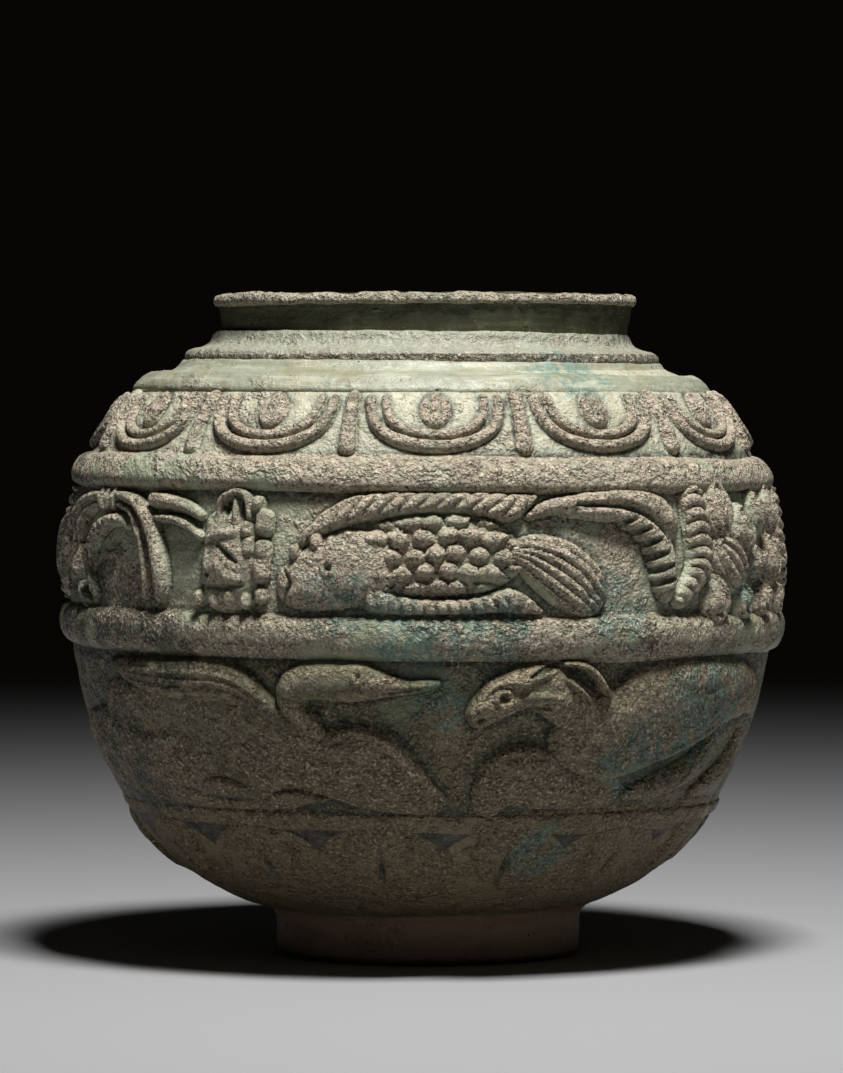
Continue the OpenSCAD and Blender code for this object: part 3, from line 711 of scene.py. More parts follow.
@dataclass(frozen=True)
class Relief:
    """One moulded motif, carved on a grid that follows the wall and repeated round the jar.

    The cell is the grid's step, merge is how softly strokes run together, and shell is how deep
    the back lies in the wall. Round a motif the height falls below 0: there the face is held at
    the depth sunk, and the grid ends where it would lie deeper than spare.
    """

    node: str
    strokes: tuple[Stroke, ...]
    foot: float
    copies: int = 2
    cell: float = 0.46
    merge: float = 0.7
    shell: float = 1.1
    sunk: float = 0.7
    spare: float = 0.9

    def heights(self, angle: np.ndarray, z: np.ndarray) -> tuple[np.ndarray, np.ndarray]:
        """Height of the motif over the wall and how deep it is cut.

        Args:
            angle: Angles of the points.
            z: Heights of the points.

        Returns:
            The height and the cut's depth at each point.
        """
        total = np.full(len(angle), NOTHING)
        cut = np.zeros(len(angle))
        for stroke in self.strokes:
            level, share = stroke.read(self.foot, angle, z)
            if stroke.act is Act.RAISED:
                join = np.maximum(self.merge - np.abs(total - level), 0)
                total = np.maximum(total, level) + join**2 / (4 * self.merge)
                continue
            level = np.where(share < 1, level, 0)
            total = total + level if stroke.act is Act.LAID else total - level
            if stroke.act is Act.CARVED:
                cut = np.maximum(cut, level)
        return total, cut

    def build(self, slot: str, material: bpy.types.Material) -> bpy.types.Object:
        """Carves the motif, closes it behind and repeats it.

        Args:
            slot: The record's material slot.
            material: Its finish.

        Returns:
            The new object.
        """
        lines = np.concatenate([s.line(self.foot) for s in self.strokes if s.act is Act.RAISED])
        reach = lines[:, 2].max() + 2.0
        arc = WALL.arc(lines[:, 1].mean())
        low = np.array([lines[:, 0].min() - reach / arc, (lines[:, 1] - lines[:, 2]).min() - 2.5])
        high = np.array([lines[:, 0].max() + reach / arc, (lines[:, 1] + lines[:, 2]).max() + 2.5])
        bm = bmesh.new()
        count = np.ceil((high - low) * [arc, 1] / self.cell).astype(int)
        bmesh.ops.create_grid(bm, x_segments=int(count[0]), y_segments=int(count[1]), size=0.5)
        flat = np.array([v.co[:2] for v in bm.verts]) + 0.5
        angle = low[0] + flat[:, 0] * (high - low)[0]
        z = low[1] + flat[:, 1] * (high - low)[1]
        level, cut = self.heights(angle, z)
        top = WALL.lift(angle, z, np.maximum(level, -self.sunk))
        back = WALL.lift(angle, z, np.full(len(z), -self.shell))
        tall = max(s.depth for s in self.strokes if s.act is Act.RAISED)
        lay_height = bm.verts.layers.float.new("height")
        lay_hollow = bm.verts.layers.float.new("hollow")
        lay_top = [bm.verts.layers.float.new(axis) for axis in "xyz"]
        # Carved cuts and the motif's low skirts count as hollows: glaze pools there, and the finish
        # darkens them as painted shade
        hollow = np.clip(cut / 0.9, 0, 1) * 0.75 + np.clip(0.35 - level, 0, 1) * 0.8
        for i, v in enumerate(bm.verts):
            v.co = back[i]
            v[lay_height] = min(max(level[i] / tall, 0), 1)
            v[lay_hollow] = min(max(hollow[i], 0), 1)
            for lay, value in zip(lay_top, top[i]):
                v[lay] = value
        outside = [v for i, v in enumerate(bm.verts) if level[i] < -self.spare]
        bmesh.ops.delete(bm, geom=outside, context="VERTS")
        bmesh.ops.delete(bm, geom=[v for v in bm.verts if not v.link_faces], context="VERTS")
        made = bmesh.ops.extrude_face_region(bm, geom=bm.faces[:], use_keep_orig=True)
        for v in (g for g in made["geom"] if isinstance(g, bmesh.types.BMVert)):
            v.co = [v[lay] for lay in lay_top]
        for axis in "xyz":
            bm.verts.layers.float.remove(bm.verts.layers.float[axis])
        bmesh.ops.recalc_face_normals(bm, faces=bm.faces[:])
        repeat(bm, self.copies)
        return finish_piece(bm, "moulded", self.node, slot, material)


@dataclass(frozen=True)
class Frieze:
    """A field of figures between two bands, which stand off the wall by its depth."""

    foot: float
    depth: float
    cell: float
    finish: Faience

    def raised(self, *rows: tuple, share: float = 1.0, **settings) -> Stroke:
        """A stroke of the frieze's depth, or of a share of it."""
        return raised(rows, self.depth * share, **settings)

    def motifs(self) -> dict[str, list[Stroke]]:
        """Strokes by CAD node."""
        raise NotImplementedError

    def reliefs(self) -> list[Relief]:
        """All the motifs of the frieze."""
        return [Relief(node, tuple(strokes), self.foot, cell=self.cell)
                for node, strokes in self.motifs().items()]


@dataclass(frozen=True)
class FishFrieze(Frieze):
    """The upper frieze: a garland, a beast's head, a fish, long leaves, plaited stems and cones."""

    depth: float = 4.1
    cell: float = 0.46
    finish: Faience = Faience("worn_faience_relief")
    garland_mid: float = -60.0

    def garland(self) -> dict[str, list[Stroke]]:
        """Ribbons on either side of a knot, with a hatched wreath between them."""
        outer = ((-57.4, 31.2, 1.2, 0.8), (-52, 29.8, 1.9, 0.95), (-48.6, 26.2, 2.1),
                 (-46.2, 20.4, 2.1), (-44.6, 13.5, 2.4), (-44.2, 8, 2.3, 0.9),
                 (-44.4, 4.4, 1.8, 0.7))
        inner = ((-57.5, 28.8, 0.9, 0.6), (-53, 27.2, 1.1, 0.7), (-50.2, 22.8, 1.2, 0.8),
                 (-48.6, 17.2, 1.2, 0.8), (-47.8, 11, 1.2, 0.75), (-47.8, 4.6, 1.1, 0.6))
        wreath = ((-62.6, 3.4, 1.2, 0.5), (-64.8, 8.5, 1.4, 0.7), (-65.2, 14.5, 1.7, 0.85),
                  (-63.4, 20, 2.0, 0.95), (-60, 23.8, 2.0), (-56, 24.8, 1.5, 0.8),
                  (-53.6, 23, 0.8, 0.5))
        hatch = Cover(Pattern.RIBS, pitch=2.4, depth=1.1, lean=0.6)
        return {
            "garland_ribbons": [raised(rows, self.depth) for rows in (
                outer, mirrored(outer, self.garland_mid), inner,
                mirrored(inner, self.garland_mid))],
            "garland_wreaths": [
                raised(wreath, self.depth, cover=hatch),
                self.raised((-70.6, 6, 1, 0.4), (-70.2, 11, 2.2, 0.9), (-70, 16.6, 1.2, 0.5)),
                self.raised((-66.6, 1, 0.8, 0.4), (-67.4, 4, 1.6, 0.8), (-69, 7, 1.0, 0.5))],
            "garland_knots": [self.raised((a, 32.4, 1.0, 0.7), (a, 30.2, 1.4, 0.95),
                                          (a, 27.6, 1.0, 0.7))
                              for a in (-62.2, -60.0, -57.8)]}

    def beast(self) -> dict[str, list[Stroke]]:
        """A worn head with a looped ear, locks behind the cheek, a beard of curls and two horns."""
        locks = [(-26.2, 29.4, 1.7, 0.6), (-24.9, 24.6, 2.5, 1.2), (-27.7, 22.8, 1.8, 0.6),
                 (-27.2, 18.2, 2.0, 0.8), (-25.0, 17.4, 2.2, 0.9), (-25.2, 12.6, 2.5, 1.4)]
        curls = [(-36.2, 4.6, 1.7, 0.7), (-33.2, 3.8, 1.8, 0.5), (-30.4, 5.0, 1.9, 0.6),
                 (-27.6, 3.8, 1.8, 0.6), (-25.2, 5.4, 1.6, 0.7)]
        horns = (((-47.4, 30.2, 2.0, 0.85), (-43.4, 29.6, 2.1, 0.95), (-39.6, 28.4, 1.8, 0.95),
                  (-36.8, 26.2, 1.3, 0.7)),
                 ((-46.4, 25.4, 1.0, 0.6), (-42.4, 25.2, 1.3, 0.85), (-39, 23.6, 1.4, 0.9),
                  (-36.6, 20.8, 1.1, 0.6)))
        return {
            "beast_heads": [
                self.raised((-34.4, 24.6, 2.6, 0.5), (-32.2, 22.4, 6.2, 0.8),
                            (-31.0, 18.6, 8.4, 0.9), (-30.8, 13.6, 8.8, 0.95),
                            (-31.2, 9.4, 8.2, 0.9), (-31.6, 6.8, 6.6, 0.6), power=2.2),
                self.raised((-33.2, 25.2, 0.9, 0.6), (-32.6, 30, 1.1, 0.95), (-30.2, 32.2, 1.1),
                            (-27.9, 30.8, 1.1), (-27.3, 25.8, 1.0, 0.8)),
                self.raised((-29.9, 30.4, 0.8, 0.8), (-29.8, 27.6, 1.0, 0.9),
                            (-29.6, 24.6, 1.0, 0.8)),
                *[lump(a, z, w, t, self.depth) for a, z, w, t in locks],
                *[lump(a, z, w, t, self.depth * 0.95) for a, z, w, t in curls],
                laid(((-35.2, 19.6, 0.9, 0.6), (-32.4, 21.4, 1.4), (-29.2, 21.6, 1.2, 0.8)), 1.0),
                laid(((-34.6, 17.6, 1.2, 0.8), (-34.8, 14.6, 1.6), (-34.4, 11.6, 1.4, 0.7)), 0.8),
                laid(((-32.0, 13.2, 1.4, 0.6), (-30.6, 10.2, 1.8), (-28.4, 9.6, 1.4, 0.7)), 0.7),
                carved(((-32.4, 18.6, 0.6, 0.6), (-30.8, 16.4, 1.1), (-29.0, 14.2, 0.7, 0.7)), 1.7),
                carved(((-31.6, 28.8, 0.8), (-31.4, 26.6, 0.8)), 1.8),
                carved(((-34.4, 11.2, 0.5), (-34.0, 10.8, 0.5)), 1.2),
                carved(((-36.4, 8.2, 0.6, 0.6), (-32, 7.6, 0.9), (-28, 8.2, 0.6, 0.7)), 1.1)],
            "beast_horns": [raised(rows, self.depth) for rows in horns]}

    def fish(self) -> dict[str, list[Stroke]]:
        """The fish, with knobbed scales, ribbed fins and a fluted tail."""
        return {
            "fish_bodies": [
                self.raised((-6.2, 15.8, 8.8, 0.9), (-3, 16, 10), (1, 16.6, 10.8), (5, 16.8, 10.8),
                            (9, 16.4, 9.6), (12.4, 16, 6.2, 0.95), (14.6, 16, 3.4, 0.8),
                            power=5.0, cover=Cover(Pattern.KNOBS, 5.7, 4.5, 2.3))],
            "fish_heads": [
                self.raised((-20.2, 8.0, 4.4, 0.7), (-18.6, 8.8, 6.8, 0.9),
                            (-15.6, 10.6, 8.8, 0.95), (-12.4, 12.4, 10), (-9.6, 13.2, 9.8),
                            (-7.7, 13.6, 8.8, 0.85), power=2.2),
                lump(-19.6, 17.2, 1.9, 0.5, self.depth * 0.9),
                lump(-16.2, 20, 2.1, 0.6, self.depth * 0.9),
                laid(((-11.6, 22.6, 1.0, 0.6), (-9.0, 19.4, 1.4), (-7.9, 14.8, 1.5),
                      (-8.6, 8.4, 1.3), (-11, 4.2, 1.0, 0.6)), 0.7),
                laid(((-18.2, 14.6, 2.0, 0.4), (-14.6, 17.2, 3.0), (-11.6, 15.6, 2.4, 0.5)), 0.5),
                laid(circle(-14.0, 13.0, 1.7, 0.7), 0.5),
                carved(circle(-14.0, 13.0, 0.3, 0.8), 0.9),
                carved(((-21.4, 12.6, 0.5, 0.7), (-20.2, 9.6, 0.8), (-20.8, 6.4, 0.7, 0.9),
                        (-21.6, 3.6, 0.4, 0.5)), 1.3),
                carved(((-13.8, 7.4, 0.8, 0.5), (-11.8, 6.0, 1.8), (-9.8, 4.8, 1.2, 0.7)), 0.8)],
            "fish_back_fins": [
                self.raised((-19.4, 18.4, 1.0, 0.5), (-17.4, 21.8, 2.0, 0.8),
                            (-14.4, 25.4, 2.9, 0.9), (-10.4, 28.2, 3.4), (-6, 29.4, 3.3),
                            (-1, 29.9, 2.8), (5, 30, 2.7), (10.4, 29.4, 3.2), (13.6, 28.8, 3.6),
                            (16.4, 30.2, 2.0, 0.8), (18, 31.4, 0.8, 0.5), power=3.4,
                            cover=Cover(Pattern.RIBS, 4.6, depth=1.9, lean=-1.2))],
            "fish_belly_fins": [
                self.raised((-10.2, 7.2, 2.0, 0.6), (-7.6, 5.0, 3.4, 0.85), (-4, 3.6, 2.8, 0.85),
                            (0, 2.9, 2.1, 0.8), (5, 2.9, 2.0, 0.8), (9.6, 3.6, 2.4, 0.85),
                            (13.2, 4.6, 3.2), (16, 3.2, 2.4, 0.9), (18.4, 1.6, 1.0, 0.5), power=3.4,
                            cover=Cover(Pattern.RIBS, 3.1, depth=1.8, lean=0.45))],
            "fish_tails": [
                self.raised((14.9, 17.2, 3.2, 0.8), (17.4, 16, 5.6, 0.95), (20.4, 13.4, 7.8),
                            (23.4, 10, 8.4), (25.4, 7, 7.2, 0.9), (26.4, 5.4, 5.4, 0.6),
                            power=3.2, cover=Cover(Pattern.FLUTES, across=6, depth=1.6))]}

    def leaves(self) -> dict[str, list[Stroke]]:
        """Long curved leaves, plaited stems and the cones and shield-shaped leaves between them."""
        plait = ((48.2, 31.6, 4.2, 0.95), (48.5, 25, 4.6), (48.9, 18.6, 4.7), (48.7, 13, 4.4),
                 (47.4, 9.4, 3.8, 0.95), (45.6, 6, 3.2, 0.9), (43.8, 3.2, 2.4, 0.7))
        ribs = Cover(Pattern.RIBS, 3.4, depth=2.1, lean=-0.2, arch=-2.0)
        nest = Cover(Pattern.NEST, depth=1.5)
        cones = [
            ((54.3, 31.8, 5.2, 0.8), (54.5, 28.6, 6.4), (55.0, 24.6, 5.6), (55.8, 20.8, 2.4, 0.6)),
            ((54.6, 17.8, 3.6, 0.7), (56.6, 14.8, 6.4), (58.6, 11.2, 6.2), (59.8, 8, 2.6, 0.6)),
            ((61.4, 26.2, 3.2, 0.7), (62.2, 22.8, 4.8), (62.8, 18.6, 3.8), (63, 15.4, 1.4, 0.5)),
            ((52.4, 8.6, 1.6, 0.5), (52.8, 5.8, 4.2, 0.95), (53, 2.2, 5.6), (53, 0.8, 5.4, 0.8)),
            ((60.8, 5.8, 1.4, 0.5), (61, 3.8, 4.0), (61, 1.2, 4.8, 0.9)),
            ((66.0, 16, 2.4, 0.7), (66.8, 12.6, 3.8), (67.2, 9, 1.6, 0.5)),
            ((68.2, 29.6, 3.2, 0.7), (69, 25.6, 4.6), (70, 21.6, 2.2, 0.6)),
            ((75.2, 31.4, 3.6, 0.7), (75.6, 27.8, 5.2), (75.8, 23.6, 4.2), (75.6, 20, 1.6, 0.5)),
            ((73.6, 18.4, 2.6, 0.6), (74.2, 14.4, 5.2), (74.6, 10.6, 4.4), (74.4, 7.6, 1.8, 0.5)),
            ((69, 6.4, 1.4, 0.5), (69.2, 4, 3.8), (69.2, 1.4, 4.4, 0.9)),
            ((77.2, 6.8, 1.4, 0.5), (77.4, 4.2, 3.6), (77.4, 1.4, 4.2, 0.9))]
        upper = self.raised(
            (16.9, 26.4, 1.1, 0.6), (20, 28.6, 2.0, 0.9), (24.4, 29.6, 2.4), (29, 30.6, 2.2),
            (33, 30.8, 2.4), (37, 29.6, 3.4), (40.4, 27, 4.2), (42.4, 23.8, 3.2, 0.9),
            (43.1, 20.6, 1.3, 0.5), power=2.2)
        lower = self.raised(
            (22.4, 27.2, 1.0, 0.5), (27, 27.6, 2.2, 0.9), (31.6, 27.0, 2.8), (35.8, 24.4, 3.7),
            (38.8, 20.6, 4.6), (40.4, 15.4, 5.0), (40.8, 10.6, 4.7), (41, 6.8, 3.4, 0.9),
            (41.2, 4.2, 1.6, 0.5), power=2.2)
        notches = [carved(((a - 4.6, z - 1.8, 0.6, 0.5), (a - 2.0, z - 0.5, 1.0),
                           (a + 0.8, z + 0.6, 0.6, 0.6)), 1.9)
                   for a, z in ((34.0, 24.6), (36.6, 22.2), (38.6, 19.2), (40.0, 15.8),
                                (40.8, 12.4), (41.2, 9.0))]
        notches.append(carved(((24.4, 29.0, 0.5, 0.6), (29, 28.7, 0.8), (34, 27.9, 0.9),
                               (37.6, 25.6, 0.9), (40.4, 22, 0.8), (41.6, 18.6, 0.5, 0.6)), 1.8))
        short = ((90.2, 4.4, 2.4, 0.4), (90.4, 11, 4.8), (92.6, 17.4, 4.4), (96, 22.6, 3, 0.9),
                 (99.6, 26.6, 1.4, 0.4))
        return {
            "crescent_leaves": [upper, lower, raised(short, self.depth), *notches],
            "plaited_stems": [raised(rows, self.depth, cover=ribs, power=3.0)
                              for rows in (plait, mirrored(plait, 65.5))],
            "cone_clusters": [raised(rows, self.depth, cover=nest, power=4.0,
                                     edge=max(r[2] for r in rows))
                              for rows in cones]}

    def motifs(self) -> dict[str, list[Stroke]]:
        """Strokes by CAD node."""
        return self.garland() | self.beast() | self.fish() | self.leaves()


@dataclass(frozen=True)
class AnimalFrieze(Frieze):
    """The lower frieze: a duck that looks ahead with its wing raised, and a lying horse."""

    depth: float = 4.3
    cell: float = 0.55
    finish: Faience = Faience("worn_faience_animals", paste="#887a61", glaze="#787c5c",
                              low="#5b4c32", pale="#d8cba8", pool_and_shade="#3b4636", pooling_and_shade=0.7)

    def duck(self) -> dict[str, list[Stroke]]:
        """The duck, with its raised wing, its neck drawn up and its feet."""
        return {
            "duck_bodies": [
                self.raised((-79, 17, 7, 0.4), (-70, 16, 10.6, 0.9), (-58, 15, 12.8),
                            (-45, 14.2, 13.2), (-33, 13.8, 12.8), (-25, 13.4, 12, 0.95),
                            (-20, 13, 9, 0.7), share=0.75, power=2.2),
                self.raised((-62, 27, 7, 0.5), (-52, 28, 8.6, 0.9), (-42, 27.4, 8.6),
                            (-32, 25.6, 8.4), (-25, 22.6, 8), (-19, 18.6, 6.6, 0.7),
                            share=0.72, power=2.4),
                self.raised((-17, 13.4, 8, 0.6), (-12.6, 13.8, 10.4, 0.95), (-8.8, 12.6, 10.8),
                            (-5, 9.4, 8.4, 0.95), (-1.4, 6, 5.6, 0.8), (2.6, 3.6, 3.2, 0.4),
                            share=0.85, power=2.2),
                laid(((-15.9, 20.6, 0.8, 0.5), (-11.8, 23.8, 1.5), (-9, 23.2, 1.6),
                      (-6.2, 20.6, 1.5), (-3.8, 16.4, 1.4), (-1.4, 12, 1.2, 0.8),
                      (1.6, 9, 0.8, 0.4)), 1.1),
                laid(((-60, 22, 1.2, 0.4), (-52, 20, 1.8), (-44, 21, 1.2, 0.4)), 0.5),
                carved(((-15.4, 19.6, 0.4, 0.5), (-13.6, 20.4, 0.6), (-12, 21, 0.4, 0.5)), 0.7),
                carved(((-46, 8.4, 0.7, 0.3), (-40, 5.2, 1.1), (-32, 4.6, 1.0, 0.9),
                        (-26, 5.4, 0.7, 0.3)), 0.9)],
            "duck_wings": [
                self.raised((-58.6, 40, 1.0, 0.5), (-54.6, 38, 3.4, 0.8), (-49, 36.6, 5.0),
                            (-41.6, 35.8, 6.0), (-34.6, 35.6, 6.2), (-30, 34.2, 5.2),
                            (-26.8, 31.0, 3.8, 0.95), (-23.4, 27.4, 2.8, 0.9),
                            (-19.6, 23.6, 1.6, 0.7), share=0.9, power=3.0,
                            cover=Cover(Pattern.FLUTES, across=5, depth=0.9))],
            "duck_heads": [
                self.raised((-16.6, 21.0, 2.0, 0.4), (-18.4, 25.4, 3.2, 0.8),
                            (-20.8, 30.0, 4.0, 0.9), (-20.6, 34.4, 4.4), (-17.6, 36.6, 4.9),
                            (-13.2, 36.4, 5.4), (-9.2, 36.2, 5.0), (-5.6, 35.6, 3.2, 0.9),
                            (-2.2, 35, 2.0, 0.8), (0.8, 35.5, 1.5, 0.7), (2.6, 36, 0.9, 0.4),
                            power=2.3),
                laid(circle(-9.6, 38.2, 1.5, 0.6), 0.6), carved(circle(-9.6, 38.2, 0.2, 0.6), 0.6),
                laid(((-13.4, 40, 0.7, 0.4), (-10, 40.6, 0.9), (-6.8, 38.8, 0.8),
                      (-4.4, 36.8, 0.5, 0.4)), 0.7),
                carved(((-7.4, 33.8, 0.4, 0.4), (-3.8, 34.2, 0.6), (-0.6, 35, 0.5, 0.9),
                        (1.6, 35.8, 0.3, 0.6)), 0.9),
                laid(((-22.4, 31, 0.8, 0.6), (-20, 27.4, 0.9), (-18, 23.6, 0.7, 0.6)), 0.6)],
            "duck_feet": [
                self.raised((-42, 5.6, 1.2, 0.5), (-38.6, 8.8, 2.4), (-34, 9.2, 2.2),
                            (-30.4, 7, 1.2, 0.6)),
                self.raised((-28.6, 3.8, 1.0, 0.5), (-25, 6.2, 1.9, 0.95), (-21, 6.4, 1.8, 0.9),
                            (-17.6, 4.6, 1, 0.5))]}

    def horse(self) -> dict[str, list[Stroke]]:
        """The lying horse, with its legs folded."""
        hair = [laid(((a, 12 + 0.4 * i, 0.4, 0.4), (a - 1.2, 8.8 + 0.4 * i, 0.6),
                      (a - 2.6, 6 + 0.4 * i, 0.4, 0.4)), 0.7)
                for i, a in enumerate((46, 48, 50, 52, 54))]
        return {
            "horse_bodies": [
                self.raised((26.4, 20, 9, 0.6), (31, 20.4, 11.8, 0.9), (36, 22.6, 13.2),
                            (41, 26, 14.2), (48, 28.6, 12.8), (56, 30.6, 10.4),
                            (63.6, 31.4, 8.6, 0.95), (70.6, 30, 5.8, 0.75), (76, 26, 2.4, 0.3),
                            share=0.85, power=2.2),
                laid(((58.4, 24.6, 1.2, 0.4), (56, 21, 2.0), (51.6, 17.6, 2.2), (46, 15.4, 2.0),
                      (40, 14.2, 1.4, 0.5)), 1.0),
                laid(((44, 37.6, 3, 0.5), (50, 36.8, 4), (56, 36.6, 3, 0.5)), 0.7),
                laid(circle(53.4, 28.6, 3.0, 1.1), 0.4)],
            "horse_heads": [
                self.raised((9.0, 27.3, 3.4, 0.75), (10.6, 29.6, 4.6, 0.95), (13.4, 32.6, 5.7),
                            (16.8, 34.8, 6.0), (20.4, 34.0, 6.4), (23.6, 30.8, 6.6, 0.95),
                            (27.0, 26.6, 6.4, 0.7), power=2.2),
                self.raised((22.6, 41, 0.9, 0.6), (25.4, 40.6, 1.3, 0.95), (27.8, 38.2, 1.4),
                            (29.6, 34.6, 1.3), (31.4, 31.8, 0.9, 0.5), share=0.95),
                laid(((15.4, 36.8, 1.3, 0.6), (17.8, 39.2, 2.3), (20.6, 40.6, 2.2),
                      (23, 41.4, 0.9, 0.5)), 1.6),
                carved(((16.6, 38.0, 0.6, 0.5), (19, 39.6, 1.1), (21.6, 40.8, 0.6, 0.6)), 2.0),
                laid(circle(12.6, 32.6, 1.9, 0.8), 1.1), carved(circle(12.6, 32.6, 0.3, 0.6), 0.9),
                laid(((9.6, 33.6, 0.8, 0.5), (11.4, 36.2, 1.3), (14.2, 37.0, 1.3),
                      (16.4, 36.0, 0.9, 0.7)), 1.4),
                laid(((11.4, 29.4, 0.7, 0.5), (14, 31.2, 1.3), (17, 32.8, 1.9),
                      (21.4, 32.4, 1.4, 0.5)), 1.2),
                laid(((8.2, 28.2, 1.0, 0.6), (9.6, 30.8, 1.3), (11, 29.6, 1.0, 0.5)), 0.9),
                carved(((9.0, 26.4, 0.6), (9.6, 27.0, 0.6)), 1.4),
                carved(((11.4, 25.2, 0.5, 0.5), (14, 27.4, 0.8), (17.2, 29.2, 0.7),
                        (20.6, 29.6, 0.5, 0.6)), 1.6),
                *[laid(((22.2 + i, 38 - i, 0.5, 0.5), (23.8 + 1.1 * i, 35.4 - i, 0.8),
                        (25 + 1.2 * i, 31.4 - 0.6 * i, 0.5, 0.4)), 1.3) for i in range(3)]],
            "horse_legs": [
                self.raised((11.8, 3.4, 4.4, 0.7), (13.6, 8.4, 6.8, 0.95), (16.4, 11, 8.4),
                            (20, 9.8, 8.2), (24, 8, 6.6, 0.8), (30, 6.6, 5.6, 0.65),
                            (36, 5.6, 4.6, 0.4), share=0.75, power=2.2),
                laid(((10.8, 14, 0.8, 0.4), (13.4, 17, 1.4), (17, 18.6, 1.5),
                      (20.4, 17.4, 1.2, 0.6)), 0.8),
                self.raised((60, 20, 2.6, 0.4), (57.2, 13.8, 4.2, 0.95), (51.8, 9.2, 4.4),
                            (45.6, 6.6, 3.8, 0.9), (39.6, 4.6, 2.0, 0.5), share=0.6, power=2.0),
                self.raised((70.6, 18.6, 2.4, 0.4), (68.6, 11, 4.0, 0.9), (64, 6.6, 3.4, 0.8),
                            (59, 3.6, 1.6, 0.4), share=0.6, power=2.0), *hair]}

    def motifs(self) -> dict[str, list[Stroke]]:
        """Strokes by CAD node."""
        return self.duck() | self.horse()


@dataclass(frozen=True)
class EggMoulding:
    """Round-bottomed arches that hang under the shoulder, with darts between them."""

    top: float
    deep: float
    depth: float = 2.2
    eggs: int = 12
    middle: float = 2.5
    finish: Faience = Faience("worn_faience_eggs", paste="#b3a48e", glaze="#aeac94", low="#7e6e55")

    def arch(self, wide: float, deep: float, half: float) -> tuple:
        """Rows of an arch.

        Args:
            wide: Its width as a share of an egg's pitch.
            deep: Its depth as a share of the field's height.
            half: Half the width of its strip.

        Returns:
            Rows for a stroke, whose rises are heights.
        """
        turns = np.radians(np.linspace(-87, 87, 9))
        return tuple((self.middle + wide * 180 / self.eggs * math.sin(t),
                      self.top - deep * self.deep * math.cos(t) ** 0.7, half) for t in turns)

    def reliefs(self) -> list[Relief]:
        """The arches, the lobes inside them and the darts."""
        mid, top, deep = self.middle, self.top, self.deep
        dart = mid + 180 / self.eggs
        parts = {
            "egg_frames": [raised(self.arch(0.78, 0.83, 1.6), self.depth, power=2.2)],
            "egg_cores": [raised(self.arch(0.6, 0.65, 1.35), self.depth * 0.85, power=2.2)],
            "egg_hearts": [
                raised(((mid, top - 0.4, 1.3, 0.6), (mid, top - deep * 0.12, 2.4, 0.9),
                        (mid, top - deep * 0.24, 4.3), (mid, top - deep * 0.33, 3.4, 0.9)),
                       self.depth, edge=3.0, power=2.2),
                carved(((mid - 0.9, top, 0.4), (mid - 0.9, top - deep * 0.36, 0.4)), 1.2),
                carved(((mid + 0.9, top, 0.4), (mid + 0.9, top - deep * 0.36, 0.4)), 1.2)],
            "egg_darts": [raised(((dart, top - 0.6, 1.9, 0.8), (dart, top - 0.6 - deep * 0.4, 2.1),
                                  (dart, top - 0.6 - deep * 0.8, 2.6, 0.9)),
                                 self.depth, edge=2.2, power=2.2)]}
        return [Relief(node, tuple(strokes), 0.0, self.eggs, merge=0.4)
                for node, strokes in parts.items()]


@dataclass(frozen=True)
class PetalRing:
    """Leaves that stand round the bowl, each with a hollow midrib."""

    low: float
    high: float
    depth: float = 1.7
    petals: int = 14
    middle: float = 17.4
    finish: Faience = Faience("stained_faience_petals", paste="#84765a", glaze="#797857",
                              low="#66573c", pale="#b5a888", glazed=0.35, blue=0.5)

    def reliefs(self) -> list[Relief]:
        """The ring of leaves."""
        rise = self.high - self.low
        pitch = math.radians(360 / self.petals)
        rows = []
        for f in (0.0, 0.15, 0.3, 0.5, 0.7, 0.85, 0.94, 1.0):
            z = self.low + rise * f
            narrow = 1 - 0.97 * max((f - 0.12) / 0.88, 0) ** 1.35
            half = (0.515 + max(0.15 - f, 0)) * pitch * float(WALL.radius(z)) * narrow
            rows.append((self.middle, z, half, min(0.1 + 2.5 * f, 1)))
        rib = ((self.middle, self.low + rise * 0.25, 0.6, 0.6),
               (self.middle, self.low + rise * 0.5, 1.2, 1), (self.middle, self.high - 3, 0.5, 0.5))
        strokes = (raised(rows, self.depth, power=5.0, edge=2.0), carved(rib, 1.6))
        return [Relief("petals_row", strokes, 0.0, self.petals, cell=0.7, merge=0.4)]


def dense(points: Outline, step: float) -> Outline:
    """Adds points to an open outline.

    Args:
        points: Corners as radius and height.
        step: Longest gap between two points.

    Returns:
        The outline, with its corners kept.
    """
    out = [points[0]]
    for a, b in zip(points, points[1:]):
        count = max(1, math.ceil(math.dist(a, b) / step))
        out += [(a[0] + (b[0] - a[0]) * i / count, a[1] + (b[1] - a[1]) * i / count)
                for i in range(1, count + 1)]
    return out


def softened(points: Outline, step: float, passes: int) -> Outline:
    """Rounds the corners of an open outline as wear and glaze do, with its ends kept.

    Args:
        points: Corners as radius and height.
        step: Gap between two points of the new outline.
        passes: How often each point moves halfway to its neighbours.

    Returns:
        The rounded outline.
    """
    line = np.array(dense(points, step))
    for _ in range(passes):
        line[1:-1] = line[1:-1] / 2 + (line[:-2] + line[2:]) / 4
    return [tuple(p) for p in line]


